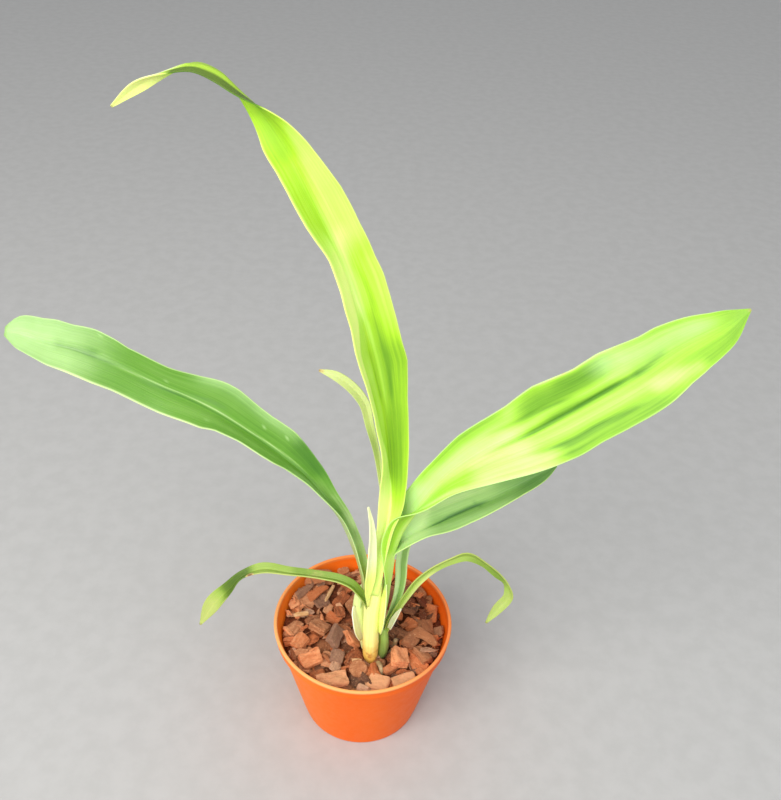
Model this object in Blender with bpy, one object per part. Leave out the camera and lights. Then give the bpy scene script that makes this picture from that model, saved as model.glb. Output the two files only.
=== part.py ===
"""Potted orchid: strap leaves on a short cane, standing in bark chips in a small plastic pot.

Sizes below are in millimetres and are turned into metres when a mesh is made.
X runs to the right, Y to the back and Z up. The pot's axis is the Z axis and
the pot stands on Z = 0, with the two widest leaves spread along X.
"""

import math
import random

import bmesh
import bpy
import numpy as np
from mathutils import Matrix, Vector

MM = 0.001
SHARP_ANGLE = 35.0

# Driving dimensions of the pot
POT_HEIGHT = 62.0
POT_RIM_RADIUS = 45.0
POT_RIM_HEIGHT = 6.5
POT_RIM_OVERHANG = 2.2
POT_FOOT_RADIUS = 30.5
POT_FOOT_WIDTH = 3.0
POT_FOOT_LIFT = 1.5
POT_WALL = 1.2
POT_LIP_RADIUS = 0.85
POT_LIP_STEPS = 4
POT_CHAMFER = 1.0
POT_SEGMENTS = 48
DRAIN_HOLES = 6
DRAIN_RADIUS = 3.0
DRAIN_CIRCLE = 19.0
DRAIN_SIDES = 12
DRILL_REACH = 6.0

# Driving dimensions of the bark
BED_TOP = 53.0
CHIP_COUNT = 44
CHIP_SEED = 12
CHIP_LENGTH = (8.5, 13.5)
CHIP_WIDTH_SHARE = (0.55, 0.85)
CHIP_THICKNESS = (2.6, 4.6)
CHIP_TILT = 34.0
CHIP_PLAY = 1.2
CHIP_PROUD = (0.6, 2.4)
CHIP_SUNK = 1.6
CHIP_CROWDING = 0.75
CHIP_MARGIN = 4.0
CHIP_WALL_GAP = 0.6
CHIP_CORNER = (0.62, 1.0)
CHIP_FACE = (0.8, 1.0)
CHIP_NOSE = (-0.2, 0.2)
ROUND_CHIP_SIDES = 10
ROUND_CHIP_TAPER = 0.9
BED_CHAMFER = 1.4
BED_SHOULDER = 0.8

# Driving dimensions of the plant
BLADE_THICKNESS = 0.7
KEEL_EXTRA = 0.5
KEEL_REACH = 0.4
KEEL_BLEND = 0.15
KEEL_HALF_WIDTH = 4.0
TIP_HALF_WIDTH = 0.35
FOLD_LIMIT = 0.45
SECTION_STEPS = 16
WAVE_RISE = 6.4
WAVE_SHIFT = 2.1
GAP = 0.3
LEAF_FRONT = (0.0, -0.8, 0.6)

# Columns across half of a blade, from the midrib to the margin
BROAD = (0.0, 0.15, 0.45, 0.75, 1.0)
SLIM = (0.0, 0.5, 1.0)

# Each leaf is a list of stations from its base to its tip. A station is the
# midrib's x, y, z, the width left and right of it, the roll of the blade about
# the midrib, the angle that each half is folded up, and how much each half
# curls in, as it does where a base clasps a stem. Angles are in degrees, and
# the curl in degrees for each millimetre of width. "wave" is the ruffle of the
# margins: height, number and phase.
LEAVES = {
    "leaf_tall": {
        "stations": [
            (5.4, -22, 104, 2, 2, 0, 0, 14),
            (6, -20.6, 112, 3, 2.8, 0, 0, 14),
            (6.8, -18.6, 121.5, 3.6, 3.2, 0, 6, 12),
            (8, -16.8, 131.6, 4.2, 4, 0, 22, 8),
            (9.6, -15.4, 143.4, 5.3, 5.1, 0, 38, 3),
            (10.6, -14.6, 153.2, 6.3, 6.9, 2, 42, 0),
            (10.6, -13.2, 165, 7.3, 7.7, 10, 46, 0),
            (9.8, -11.7, 176.8, 8.1, 7.9, 22, 48, 0),
            (6.5, -8.7, 200.4, 10.4, 9.6, 30, 38, 0),
            (1.1, -4.8, 223, 11.8, 12.4, 33, 34, 0),
            (-5.7, -0.9, 247.5, 11.8, 12.8, 33, 34, 0),
            (-13.6, 2.1, 269.1, 10.8, 12.4, 28, 32, 0),
            (-22.4, 5, 286.8, 10.2, 11.4, 12, 30, 0),
            (-32.2, 8, 304.9, 8.2, 9.4, -20, 26, 0),
            (-41.1, 10.9, 316.7, 6.1, 7.3, -58, 26, 0),
            (-48.9, 11.9, 324.1, 5.5, 5.9, -95, 28, 0),
            (-56.8, 13.9, 330, 4.9, 4.9, -125, 28, 0),
            (-64.7, 13.9, 332.4, 4.1, 4.1, -130, 22, 0),
            (-75.5, 14.9, 329, 3.3, 3.3, -100, 18, 0),
            (-86.3, 15.8, 323.1, 2.9, 2.9, -60, 12, 0),
            (-97.1, 16.8, 314.8, 0.5, 0.5, -50, 5, 0),
        ],
        "wave": (0.9, 3.2, 0.6),
        "rows": 27,
        "columns": BROAD,
    },
    "leaf_right": {
        "stations": [
            (10, -16.9, 75, 0.8, 0.8, -80, 0, 9),
            (10.6, -17.2, 84, 2.2, 2.6, -84, 4, 9),
            (11.2, -17.4, 94, 3, 3.6, -86, 10, 9),
            (12, -17.2, 104, 4, 4.4, -88, 18, 8),
            (12.8, -16.6, 113, 4.8, 5.2, -88, 28, 6),
            (13.4, -15.8, 121, 5.6, 6.2, -86, 38, 4),
            (14.4, -15, 129, 6.6, 7.4, -84, 46, 3),
            (16.8, -14.5, 138, 7.6, 8.2, -82, 56, 1),
            (20.2, -14.3, 146, 8.2, 9.2, -74, 62, 0),
            (25.2, -14, 155.6, 9.4, 9.4, -44, 52, 0),
            (33.2, -13.5, 168.6, 11, 9.8, -18, 40, 0),
            (48.3, -11.7, 182.7, 12.6, 13.4, 0, 22, 0),
            (68.9, -9.7, 195.5, 14.9, 16.7, 0, 12, 0),
            (90.5, -7.7, 210.2, 14.9, 17.7, 0, 12, 0),
            (108.2, -5.8, 223.9, 13.7, 17.2, 0, 12, 0),
            (125.9, -2.8, 237.7, 10.8, 12.8, 0, 12, 0),
            (138.6, -0.9, 245.5, 6.4, 8.3, 0, 10, 0),
            (147.5, 1.1, 251.4, 0.5, 0.5, 0, 0, 0),
        ],
        "wave": (1.2, 3.6, 0.0),
        "rows": 25,
        "columns": BROAD,
    },
    "leaf_right_low": {
        "stations": [
            (10.8, -12.4, 84, 0.9, 0.9, 0, 20, 6),
            (11.2, -11.8, 95, 1.8, 1.8, -10, 24, 6),
            (11.6, -11.2, 106, 2.2, 2.2, -16, 30, 6),
            (12.4, -10.8, 116, 3, 3.2, -20, 40, 4),
            (14.2, -10.7, 124.4, 5, 6, -24, 48, 2),
            (19.2, -10.2, 131, 8.6, 9.4, -26, 48, 0),
            (26.7, -6.8, 134.6, 11.4, 11.2, -28, 42, 0),
            (34.5, -3.8, 136.1, 12.8, 12, -30, 36, 0),
            (48.3, 1.1, 139.5, 13.3, 11.2, -30, 34, 0),
            (66, 6, 147.3, 10.8, 8.4, -28, 30, 0),
            (78.7, 9, 155.2, 5.9, 4.9, -20, 24, 0),
            (85.6, 9.9, 160.1, 0.5, 0.5, -10, 10, 0),
        ],
        "wave": (0.8, 2.0, 1.0),
        "rows": 21,
        "columns": BROAD,
    },
    "leaf_left": {
        "stations": [
            (-0.2, -13.4, 84, 1.2, 1.2, 20, 20, 10),
            (0.2, -14.6, 96, 3, 2.6, 30, 40, 8),
            (-0.4, -15.2, 108, 5, 3.4, 44, 58, 2),
            (-2.6, -15, 119, 6.4, 4, 46, 60, 0),
            (-6.2, -14, 131, 7.2, 4.6, 46, 58, 0),
            (-11.2, -12.3, 143, 7.6, 5.4, 44, 56, 0),
            (-17.8, -10.7, 152.6, 7.8, 6.9, 40, 54, 0),
            (-25.4, -8.7, 162.1, 8.8, 8.8, 34, 48, 0),
            (-37.2, -6.8, 172.9, 9.8, 10.8, 26, 40, 0),
            (-53.8, -3.8, 184.7, 10.6, 12, 18, 32, 0),
            (-69.6, -1.8, 194.5, 11, 12.4, 8, 26, 0),
            (-86.3, 0.1, 202.3, 11.6, 10, 0, 22, 0),
            (-102.9, 2.1, 210.2, 11.8, 9.4, 0, 20, 0),
            (-120.6, 4, 216.1, 10.8, 10.2, 2, 20, 0),
            (-136.3, 5, 219, 8.3, 9.3, 4, 18, 0),
            (-146.2, 6, 221.5, 5.9, 6.4, 4, 14, 0),
            (-151.1, 6, 222, 1.8, 1.8, 4, 8, 0),
        ],
        "wave": (0.9, 3.4, 2.0),
        "rows": 25,
        "columns": BROAD,
    },
    "leaf_low_left": {
        "stations": [
            (3.2, -19.4, 90, 0.8, 0.8, 40, 30, 6),
            (1, -20.2, 97.4, 2.2, 2.2, 42, 36, 4),
            (-2, -20.6, 103.8, 2.8, 2.8, 44, 34, 0),
            (-5.4, -20.2, 107.8, 3, 3, 46, 34, 0),
            (-10.4, -19.4, 109.8, 3, 3, 50, 34, 0),
            (-18.9, -18, 110.2, 2.9, 2.9, 56, 30, 0),
            (-34.2, -16.6, 110.6, 3.1, 3.1, 52, 28, 0),
            (-47, -15.6, 111, 3.3, 3.3, 46, 26, 0),
            (-55.8, -15.6, 106.1, 2.9, 2.9, 56, 28, 0),
            (-62.7, -15.6, 97.2, 3.5, 3.7, 30, 26, 0),
            (-71.5, -16.6, 86.5, 3.9, 4.1, 8, 18, 0),
            (-78.4, -17.6, 72.7, 0.5, 0.5, 0, 5, 0),
        ],
        "wave": (0.2, 3.0, 0.0),
        "rows": 18,
        "columns": SLIM,
    },
    "leaf_low_right": {
        "stations": [
            (11.4, -15.4, 68.8, 0.9, 0.9, 0, 20, 8),
            (13.1, -15, 76.6, 1.6, 1.6, 0, 42, 0),
            (16.3, -14.2, 85.5, 2, 2, 5, 46, 0),
            (20.8, -12.6, 94.8, 2.2, 2.2, 10, 45, 0),
            (25.7, -11.7, 104.1, 2.4, 2.4, 20, 40, 0),
            (32.6, -10.7, 112, 2.4, 2.4, 35, 35, 0),
            (40.4, -9.7, 116.9, 2.6, 2.6, 40, 30, 0),
            (47.3, -8.7, 118.9, 2.7, 2.7, 30, 26, 0),
            (56.1, -8.7, 114.9, 2.6, 2.6, 55, 26, 0),
            (63, -9.7, 109, 2.6, 2.6, 50, 26, 0),
            (67.9, -10.7, 104.1, 2.4, 2.4, 65, 26, 0),
            (69.4, -11.7, 96.3, 2.6, 2.7, 20, 24, 0),
            (65, -12.6, 88.4, 2.6, 2.7, 0, 20, 0),
            (60.1, -13.6, 78.6, 0.5, 0.5, 0, 5, 0),
        ],
        "wave": (0.1, 3.0, 0.0),
        "rows": 20,
        "columns": SLIM,
    },
    "leaf_inner": {
        "stations": [
            (8.6, -13.9, 135.6, 1, 1, 0, 30, 0),
            (8.4, -12.2, 151.3, 1.6, 1.6, 0, 46, 0),
            (6.4, -8.8, 165, 1.8, 1.8, -10, 50, 0),
            (4.1, -5.8, 177.8, 2, 2, -20, 46, 0),
            (1.1, -3.8, 189.6, 2.5, 2.3, -20, 40, 0),
            (-1.8, -1.8, 199.4, 2.7, 2.6, -10, 34, 0),
            (-7.7, 0.1, 206.3, 2.7, 2.6, 0, 30, 0),
            (-14.6, 2.1, 210.2, 2.1, 2.1, 0, 24, 0),
            (-21.4, 4, 211.2, 0.5, 0.5, 0, 5, 0),
        ],
        "wave": (0.1, 2.0, 0.0),
        "rows": 16,
        "columns": SLIM,
    },
    "side_leaf": {
        "stations": [
            (11, -13.4, 67.8, 1, 1, 0, 24, 8),
            (12.9, -12.8, 77.6, 2, 2, 0, 46, 2),
            (15.3, -11.8, 86.5, 2.4, 2.4, 0, 44, 0),
            (17, -10.6, 95.3, 2.8, 2.8, 0, 40, 0),
            (17.6, -8.7, 103.2, 3.1, 3.1, 0, 34, 0),
            (17.6, -5.7, 111, 3.2, 3.2, 0, 32, 0),
            (19, -1.8, 117.9, 3, 3, 0, 30, 0),
            (23.6, 2.1, 124.8, 2.4, 2.4, 0, 26, 0),
            (30.6, 6.1, 130.6, 0.5, 0.5, 0, 10, 0),
        ],
        "wave": (0.1, 2.0, 0.0),
        "rows": 16,
        "columns": SLIM,
    },
    "upper_bract": {
        "stations": [
            (2.8, -23, 97, 1.2, 1.2, 26, 0, 11),
            (2.6, -23.2, 105, 2.2, 2.2, 28, 0, 11),
            (3.2, -22.8, 114, 2.6, 2.6, 30, 0, 10),
            (3.6, -22, 123, 2.6, 2.6, 34, 4, 8),
            (3.7, -21, 132, 2.3, 2.3, 36, 8, 6),
            (3.6, -20.2, 140, 1.9, 1.9, 38, 12, 3),
            (2.8, -19.4, 148.5, 1.2, 1.2, 40, 12, 0),
            (1.4, -18.6, 156, 0.35, 0.35, 40, 8, 0),
        ],
        "wave": (0.0, 1.0, 0.0),
        "rows": 12,
        "columns": SLIM,
    },
    "lower_bract": {
        "stations": [
            (8.9, -20.8, 76, 0.8, 0.8, -56, 0, 11),
            (9.4, -21.4, 83, 2.2, 2.2, -56, 0, 11),
            (9.9, -21.5, 92, 2.5, 2.5, -54, 2, 10),
            (10.3, -21, 101, 1.8, 1.8, -50, 6, 6),
            (10.7, -20, 109.6, 0.35, 0.35, -46, 6, 0),
        ],
        "wave": (0.0, 1.0, 0.0),
        "rows": 10,
        "columns": SLIM,
    },
    "torn_sheath": {
        "stations": [
            (-0.2, -15.4, 64.5, 1.4, 1.4, 40, 0, 13),
            (-1.5, -15.5, 70, 2.8, 2.9, 40, 0, 13),
            (-2.6, -15.4, 76.4, 3.5, 3.6, 42, 0, 13),
            (-3.4, -15.2, 82.4, 3, 3.2, 44, 0, 13),
            (-4.2, -15, 87.8, 0.5, 0.5, 46, 0, 0),
        ],
        "wave": (0.0, 1.0, 0.0),
        "rows": 9,
        "columns": SLIM,
    },
    "dry_scale": {
        "stations": [
            (13.3, -16.4, 74.7, 1.1, 1.1, -30, 10, 8),
            (14.9, -16.4, 80.1, 1.5, 1.5, -34, 16, 6),
            (16.9, -16.4, 85.5, 1.1, 1.1, -40, 16, 0),
            (18.4, -16.6, 89.4, 0.35, 0.35, -44, 10, 0),
        ],
        "wave": (0.0, 1.0, 0.0),
        "rows": 7,
        "columns": SLIM,
    },
}

# The cane and the bulbs: x, y, z and radius along each one, from its foot up
STEMS = {
    "pseudostem": [
        (4.6, -17.9, 52.6, 2.8),
        (4.5, -18.2, 57, 3.5),
        (4.4, -18.5, 63.9, 3.75),
        (4.4, -18.5, 74.7, 3.7),
        (4.5, -18.5, 88.4, 3.7),
        (5.1, -18.4, 100.2, 3.7),
        (5.8, -17.8, 109, 3.2),
        (6.2, -16.8, 116, 2.2),
        (6.6, -15.8, 122, 0.9),
    ],
    "back_bulb": [
        (1.6, -13.4, 56, 1.6),
        (1, -12.8, 62, 2.2),
        (0, -12, 69, 2.9),
        (-1, -11.6, 77, 3.3),
        (-1.5, -11.6, 85.5, 3.3),
        (-1.2, -12.2, 93, 2.6),
        (-0.5, -13, 98, 1.8),
        (0.1, -13.6, 102, 0.9),
    ],
    "side_bulb": [
        (10.2, -15.8, 52.6, 1.7),
        (10.5, -15.8, 56, 2.5),
        (10.7, -15.6, 60.9, 2.8),
        (10.8, -15.4, 66.8, 2.4),
        (10.9, -15, 72.7, 1.3),
    ],
}
TUBE_SIDE = (0.9, 0.1, 0.3)
STEM_SIDES = 12
STEM_ROWS = 12

# The rhizome that the growths stand on, and the roots that grow from it
RHIZOME = [
    (-3.2, -10.3, 49.7, 1.5),
    (0.6, -13, 49.7, 2.2),
    (4.7, -17.6, 49.5, 2.5),
    (10.2, -16, 49.7, 2.2),
    (13.1, -14.6, 49.9, 1.2),
]
RHIZOME_SIDES = 8
RHIZOME_ROWS = 8
ROOT_SIDES = 6
ROOT_ROWS = 6
ROOT_RADIUS = (1.3, 1.0)
ROOTS = [
    [(0.2, -13.6, 49.1), (-7.7, -19.5, 41.3), (-15.6, -23.4, 29.5), (-13.6, -26.4, 18.7)],
    [(5.1, -17.6, 49.1), (5.1, -25.4, 42.3), (9, -29.3, 31.5), (4.1, -30.3, 19.7)],
    [(10, -15.6, 49.1), (18.8, -13.6, 43.2), (24.7, -7.7, 33.4), (21.8, -1.8, 20.7)],
    [(1.1, -13.6, 49.1), (-2.8, -3.8, 41.3), (-8.7, 6, 32.4), (-5.7, 12.9, 19.7)],
    [(9, -15.6, 49.1), (12.9, -3.8, 44.2), (13.9, 7, 33.4), (9, 13.9, 20.7)],
    [(5.7, -18.5, 48.6), (7.9, -21.7, 51.6), (8.8, -22.7, 56), (9.8, -24.8, 56.6), (10.8, -28.4, 49.1)],
    [(10, -15.2, 49.1), (15.3, -12.6, 53.1), (16.5, -12.1, 57.4), (16.9, -12.3, 61.4)],
]

# Chips of bark that show one by one at the front: x, y, height of the middle,
# length, width, thickness, turn about Z and tilt towards the turned side
FRONT_CHIPS = [
    (-13.1, -34.2, 55.6, 18.7, 9.8, 3.1, 12, 4),
    (8.6, -34.6, 55.8, 12.3, 11.3, 3.1, -14, 5),
    (21.6, -32.3, 55.4, 14.7, 9.3, 2.9, 24, -4),
    (-12, -20.3, 56, 8.8, 7.4, 3.5, 80, 24),
    (-13.2, -8.7, 57.2, 12.3, 8.3, 3.7, 72, 40),
    (-5.3, -10.1, 57.6, 10.8, 7.5, 3.3, 118, 58),
    (19.2, -19.5, 57.4, 12.3, 10.3, 5.3, 100, 34),
    (14.9, -25, 55.6, 9.8, 4.5, 3.3, 40, 14),
    (24.9, -8.3, 56.8, 10.3, 7.9, 4.1, 64, 30),
    (30, -17, 56.6, 11.3, 7.9, 3.9, 130, 26),
    (32.6, 0.5, 56.4, 11.8, 8.2, 3.9, 96, 22),
    (-24.2, -21.9, 56.2, 11.8, 9.4, 3.7, 28, 16),
    (-31.1, -12.1, 56.2, 10.8, 8.4, 4.3, 60, 18),
    (-21.8, -2.4, 56.6, 11.3, 8.8, 4.3, 150, 24),
]
# The round slice of bark: x, y, height of the middle, radius, thickness, turn, tilt
ROUND_CHIP = (-1, -27.4, 56.4, 4.8, 2.9, 20, 12)

# Base colour and roughness of each piece
COLOURS = {
    "pot": ((0.86, 0.17, 0.05), 0.42),
    "bark_bed": ((0.25, 0.10, 0.055), 0.88),
    "rhizome_roots": ((0.66, 0.60, 0.42), 0.8),
    "pseudostem": ((0.62, 0.72, 0.25), 0.45),
    "back_bulb": ((0.72, 0.78, 0.45), 0.6),
    "side_bulb": ((0.30, 0.45, 0.18), 0.45),
    "leaf_tall": ((0.28, 0.55, 0.05), 0.42),
    "leaf_right": ((0.28, 0.55, 0.05), 0.42),
    "leaf_right_low": ((0.14, 0.33, 0.10), 0.45),
    "leaf_left": ((0.12, 0.34, 0.05), 0.42),
    "leaf_low_left": ((0.10, 0.27, 0.05), 0.45),
    "leaf_low_right": ((0.30, 0.45, 0.08), 0.45),
    "leaf_inner": ((0.45, 0.62, 0.18), 0.42),
    "side_leaf": ((0.17, 0.36, 0.11), 0.45),
    "upper_bract": ((0.74, 0.82, 0.52), 0.6),
    "lower_bract": ((0.60, 0.74, 0.30), 0.5),
    "torn_sheath": ((0.78, 0.74, 0.52), 0.7),
    "dry_scale": ((0.82, 0.78, 0.60), 0.7),
}


def material(name):
    """The Principled material of one colour, made the first time it is asked for."""
    found = bpy.data.materials.get(name)
    if found:
        return found
    colour, roughness = COLOURS[name]
    made = bpy.data.materials.new(name)
    made.use_nodes = True
    shader = made.node_tree.nodes["Principled BSDF"]
    shader.inputs["Base Color"].default_value = (*colour, 1.0)
    shader.inputs["Roughness"].default_value = roughness
    shader.inputs["Metallic"].default_value = 0.0
    made.diffuse_color = (*colour, 1.0)
    return made


def mesh_object(name, points, faces, owner, split=True):
    """An object from points in millimetres and lists of corners, in the colour of its owner."""
    mesh = bpy.data.meshes.new(name)
    mesh.from_pydata([Vector(p) * MM for p in points], [], faces)
    bm = bmesh.new()
    bm.from_mesh(mesh)
    if split:
        bmesh.ops.triangulate(bm, faces=bm.faces)
    bmesh.ops.recalc_face_normals(bm, faces=bm.faces)
    bm.to_mesh(mesh)
    bm.free()
    return place(name, mesh, owner)


def place(name, mesh, owner):
    obj = bpy.data.objects.new(name, mesh)
    mesh.materials.append(material(owner))
    bpy.context.scene.collection.objects.link(obj)
    return obj


def apply_modifiers(obj):
    """Gives the object its evaluated mesh and takes its modifiers away."""
    graph = bpy.context.evaluated_depsgraph_get()
    mesh = bpy.data.meshes.new_from_object(obj.evaluated_get(graph))
    obj.modifiers.clear()
    obj.data = mesh


def keep_largest(obj):
    """Drops the loose scraps that a cut leaves, and keeps the piece with most faces."""
    bm = bmesh.new()
    bm.from_mesh(obj.data)
    left = set(bm.verts)
    groups = []
    while left:
        front = [left.pop()]
        group = set(front)
        while front:
            vert = front.pop()
            for edge in vert.link_edges:
                other = edge.other_vert(vert)
                if other in left:
                    left.discard(other)
                    group.add(other)
                    front.append(other)
        groups.append(group)
    groups.sort(key=len)
    scraps = [vert for group in groups[:-1] for vert in group]
    bmesh.ops.delete(bm, geom=scraps, context="VERTS")
    bm.to_mesh(obj.data)
    bm.free()


def boolean(obj, others, operation, solver="EXACT"):
    """One Boolean of the object with all the others, which are then removed."""
    group = bpy.data.collections.new(obj.name + "_tools")
    bpy.context.scene.collection.children.link(group)
    for other in others:
        bpy.context.scene.collection.objects.unlink(other)
        group.objects.link(other)
    step = obj.modifiers.new(operation.lower(), "BOOLEAN")
    step.operation = operation
    step.operand_type = "COLLECTION"
    step.collection = group
    step.solver = solver
    apply_modifiers(obj)
    for other in others:
        bpy.data.objects.remove(other)
    bpy.data.collections.remove(group)


def cut(obj, others, solver="EXACT"):
    boolean(obj, others, "DIFFERENCE", solver)
    keep_largest(obj)


def unit(rows):
    return rows / np.maximum(np.linalg.norm(rows, axis=-1, keepdims=True), 1e-9)


def spline(table, count):
    """Rows of the table read at even steps along its first three columns, smoothly."""
    table = np.array(table, float)
    steps = np.linalg.norm(np.diff(table[:, :3], axis=0), axis=1)
    knots = np.concatenate([[0.0], np.cumsum(steps)]) / steps.sum()
    widths = np.diff(knots)
    slopes = np.diff(table, axis=0) / widths[:, None]
    before = widths[:-1, None]
    after = widths[1:, None]
    inner = (slopes[:-1] * after + slopes[1:] * before) / (before + after)
    tangents = np.concatenate([slopes[:1], inner, slopes[-1:]])
    share = np.linspace(0.0, 1.0, count)
    index = np.clip(np.searchsorted(knots, share, side="right") - 1, 0, len(widths) - 1)
    s = ((share - knots[index]) / widths[index])[:, None]
    span = widths[index][:, None]
    start = (2 * s**3 - 3 * s**2 + 1) * table[index]
    leave = (s**3 - 2 * s**2 + s) * span * tangents[index]
    end = (3 * s**2 - 2 * s**3) * table[index + 1]
    arrive = (s**3 - s**2) * span * tangents[index + 1]
    return share, start + leave + end + arrive


def half_section(columns, width, fold, curl, wave):
    """Points of one half of a blade's section, (out, up), from the midrib to the margin."""
    b = np.linspace(0.0, 1.0, SECTION_STEPS + 1)
    middle = (b[1:] + b[:-1]) / 2
    angle = fold * np.minimum(middle / KEEL_BLEND, 1.0) + curl * width * middle
    step = width / SECTION_STEPS
    out = np.concatenate([[0.0], np.cumsum(np.cos(angle) * step)])
    up = np.concatenate([[0.0], np.cumsum(np.sin(angle) * step)]) + wave * b**2
    return np.stack([np.interp(columns, b, out), np.interp(columns, b, up)], axis=1)


def section_normals(line):
    """Mitred normals of a section's points, so that the blade keeps its thickness in a fold."""
    along = unit(np.diff(line, axis=0))
    normal = np.stack([-along[:, 1], along[:, 0]], axis=1)
    normal = np.concatenate([normal[:1], normal, normal[-1:]])
    mean = unit(normal[:-1] + normal[1:])
    mitre = np.maximum((mean * normal[1:]).sum(axis=1, keepdims=True), FOLD_LIMIT)
    return mean / mitre


def blade(name, grow=0.0):
    """A leaf, bract or scale as a closed thin solid, or a copy that is fatter by grow."""
    leaf = LEAVES[name]
    share, rows = spline(leaf["stations"], leaf["rows"] + 1)
    route = rows[:, :3]
    along = unit(np.gradient(route, axis=0))
    route[0] -= along[0] * grow
    route[-1] += along[-1] * grow
    front = np.array(LEAF_FRONT)
    face = unit(front - (along @ front)[:, None] * along)
    right = np.cross(along, face)
    roll = np.radians(rows[:, 5])[:, None]
    up_axis = face * np.cos(roll) + right * np.sin(roll)
    out_axis = right * np.cos(roll) - face * np.sin(roll)
    height, number, phase = leaf["wave"]
    columns = np.array(leaf["columns"])
    keel = KEEL_EXTRA * np.maximum(0.0, 1.0 - columns / KEEL_REACH)
    half = BLADE_THICKNESS / 2 + grow
    upper = []
    lower = []
    for i, t in enumerate(share):
        left = rows[i, 3]
        fold = math.radians(rows[i, 6])
        curl = math.radians(rows[i, 7])
        ruffle = height * min(1.0, WAVE_RISE * t * (1.0 - t))
        turn = 2 * math.pi * number * t + phase
        sides = []
        for width, shift in ((left, 0.0), (rows[i, 4], WAVE_SHIFT)):
            wave = ruffle * math.sin(turn + shift)
            width = max(width, TIP_HALF_WIDTH) + grow
            sides.append(half_section(columns, width, fold, curl, wave))
        mirrored = sides[0][:0:-1] * (-1.0, 1.0)
        line = np.concatenate([mirrored, sides[1]])
        normal = section_normals(line)
        depth = half + np.concatenate([keel[:0:-1], keel]) * min(1.0, left / KEEL_HALF_WIDTH)
        top = line + normal * half
        bottom = line - normal * depth[:, None]
        for found, section in ((upper, top), (lower, bottom)):
            found.append(route[i] + section[:, :1] * out_axis[i] + section[:, 1:] * up_axis[i])
    return mesh_object(name, *closed_blade(np.array(upper), np.array(lower)), name)


def closed_blade(upper, lower):
    """Points and triangles of a blade from its two faces, split alike on both."""
    rows, columns = upper.shape[:2]
    points = np.concatenate([upper.reshape(-1, 3), lower.reshape(-1, 3)])
    below = rows * columns
    faces = []
    for i in range(rows - 1):
        for j in range(columns - 1):
            a = i * columns + j
            b, c, d = a + 1, a + columns + 1, a + columns
            faces += [(a, b, c), (a, c, d)]
            faces += [(a + below, c + below, b + below), (a + below, d + below, c + below)]
    edge = list(range(columns))
    edge += [i * columns + columns - 1 for i in range(1, rows)]
    edge += [(rows - 1) * columns + j for j in range(columns - 2, -1, -1)]
    edge += [i * columns for i in range(rows - 2, 0, -1)]
    for a, b in zip(edge, edge[1:] + edge[:1]):
        faces += [(a, a + below, b + below), (a, b + below, b)]
    return points.tolist(), faces


def tube(name, stations, rows, sides, owner, grow=0.0):
    """A round tube of changing radius through the stations, with flat ends."""
    _, table = spline(stations, rows + 1)
    route = table[:, :3]
    along = unit(np.gradient(route, axis=0))
    route[0] -= along[0] * grow
    route[-1] += along[-1] * grow
    aside = np.empty_like(along)
    carried = np.array(TUBE_SIDE)
    for i in range(rows + 1):
        carried = unit(carried - (carried @ along[i]) * along[i])
        aside[i] = carried
    across = np.cross(along, aside)
    points = []
    for i in range(rows + 1):
        for k in range(sides):
            angle = 2 * math.pi * k / sides
            spoke = aside[i] * math.cos(angle) + across[i] * math.sin(angle)
            points.append(route[i] + spoke * (table[i, 3] + grow))
    faces = []
    for i in range(rows):
        for k in range(sides):
            a = i * sides + k
            b = i * sides + (k + 1) % sides
            faces.append((a, b, b + sides, a + sides))
    faces.append(tuple(range(sides)))
    faces.append(tuple(rows * sides + k for k in range(sides)))
    return mesh_object(name, points, faces, owner)


def stem(name, grow=0.0):
    return tube(name, STEMS[name], STEM_ROWS, STEM_SIDES, name, grow)


def root_stations(route):
    first, last = ROOT_RADIUS
    return [(*p, first + (last - first) * i / (len(route) - 1)) for i, p in enumerate(route)]


def rhizome_and_roots(grow=0.0):
    """The rhizome with its roots, joined in one solid."""
    name = "rhizome_roots"
    body = tube(name, RHIZOME, RHIZOME_ROWS, RHIZOME_SIDES, name, grow)
    roots = [
        tube(f"root_{i}", root_stations(route), ROOT_ROWS, ROOT_SIDES, name, grow)
        for i, route in enumerate(ROOTS)
    ]
    boolean(body, roots, "UNION", "MANIFOLD")
    return body


def pot_outer_radius(z):
    """Radius of the pot's outer wall below the rim band."""
    top = POT_HEIGHT - POT_RIM_HEIGHT
    top_radius = POT_RIM_RADIUS - POT_RIM_OVERHANG
    return POT_FOOT_RADIUS + (top_radius - POT_FOOT_RADIUS) * z / top


def pot_inner_radius(z):
    return pot_outer_radius(z) - POT_WALL


def lathe(name, profile):
    """A profile of (radius, height) that starts and ends on the Z axis, turned round it."""
    points = []
    rings = []
    for radius, z in profile:
        if radius == 0.0:
            rings.append([len(points)])
            points.append((0.0, 0.0, z))
            continue
        rings.append([len(points) + k for k in range(POT_SEGMENTS)])
        for k in range(POT_SEGMENTS):
            angle = 2 * math.pi * k / POT_SEGMENTS
            points.append((radius * math.cos(angle), radius * math.sin(angle), z))
    faces = []
    for lower, upper in zip(rings, rings[1:]):
        for k in range(POT_SEGMENTS):
            n = (k + 1) % POT_SEGMENTS
            if len(lower) == 1:
                faces.append((lower[0], upper[k], upper[n]))
            elif len(upper) == 1:
                faces.append((lower[k], lower[n], upper[0]))
            else:
                faces.append((lower[k], lower[n], upper[n], upper[k]))
    return mesh_object(name, points, faces, name, split=False)


def pot_lip():
    """The rim's rounded lip, from its outer side over the top to its inner side."""
    middle = POT_RIM_RADIUS - POT_LIP_RADIUS
    top = POT_HEIGHT - POT_LIP_RADIUS
    turns = [math.pi * k / POT_LIP_STEPS for k in range(POT_LIP_STEPS + 1)]
    return [
        (middle + POT_LIP_RADIUS * math.cos(turn), top + POT_LIP_RADIUS * math.sin(turn))
        for turn in turns
    ]


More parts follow.
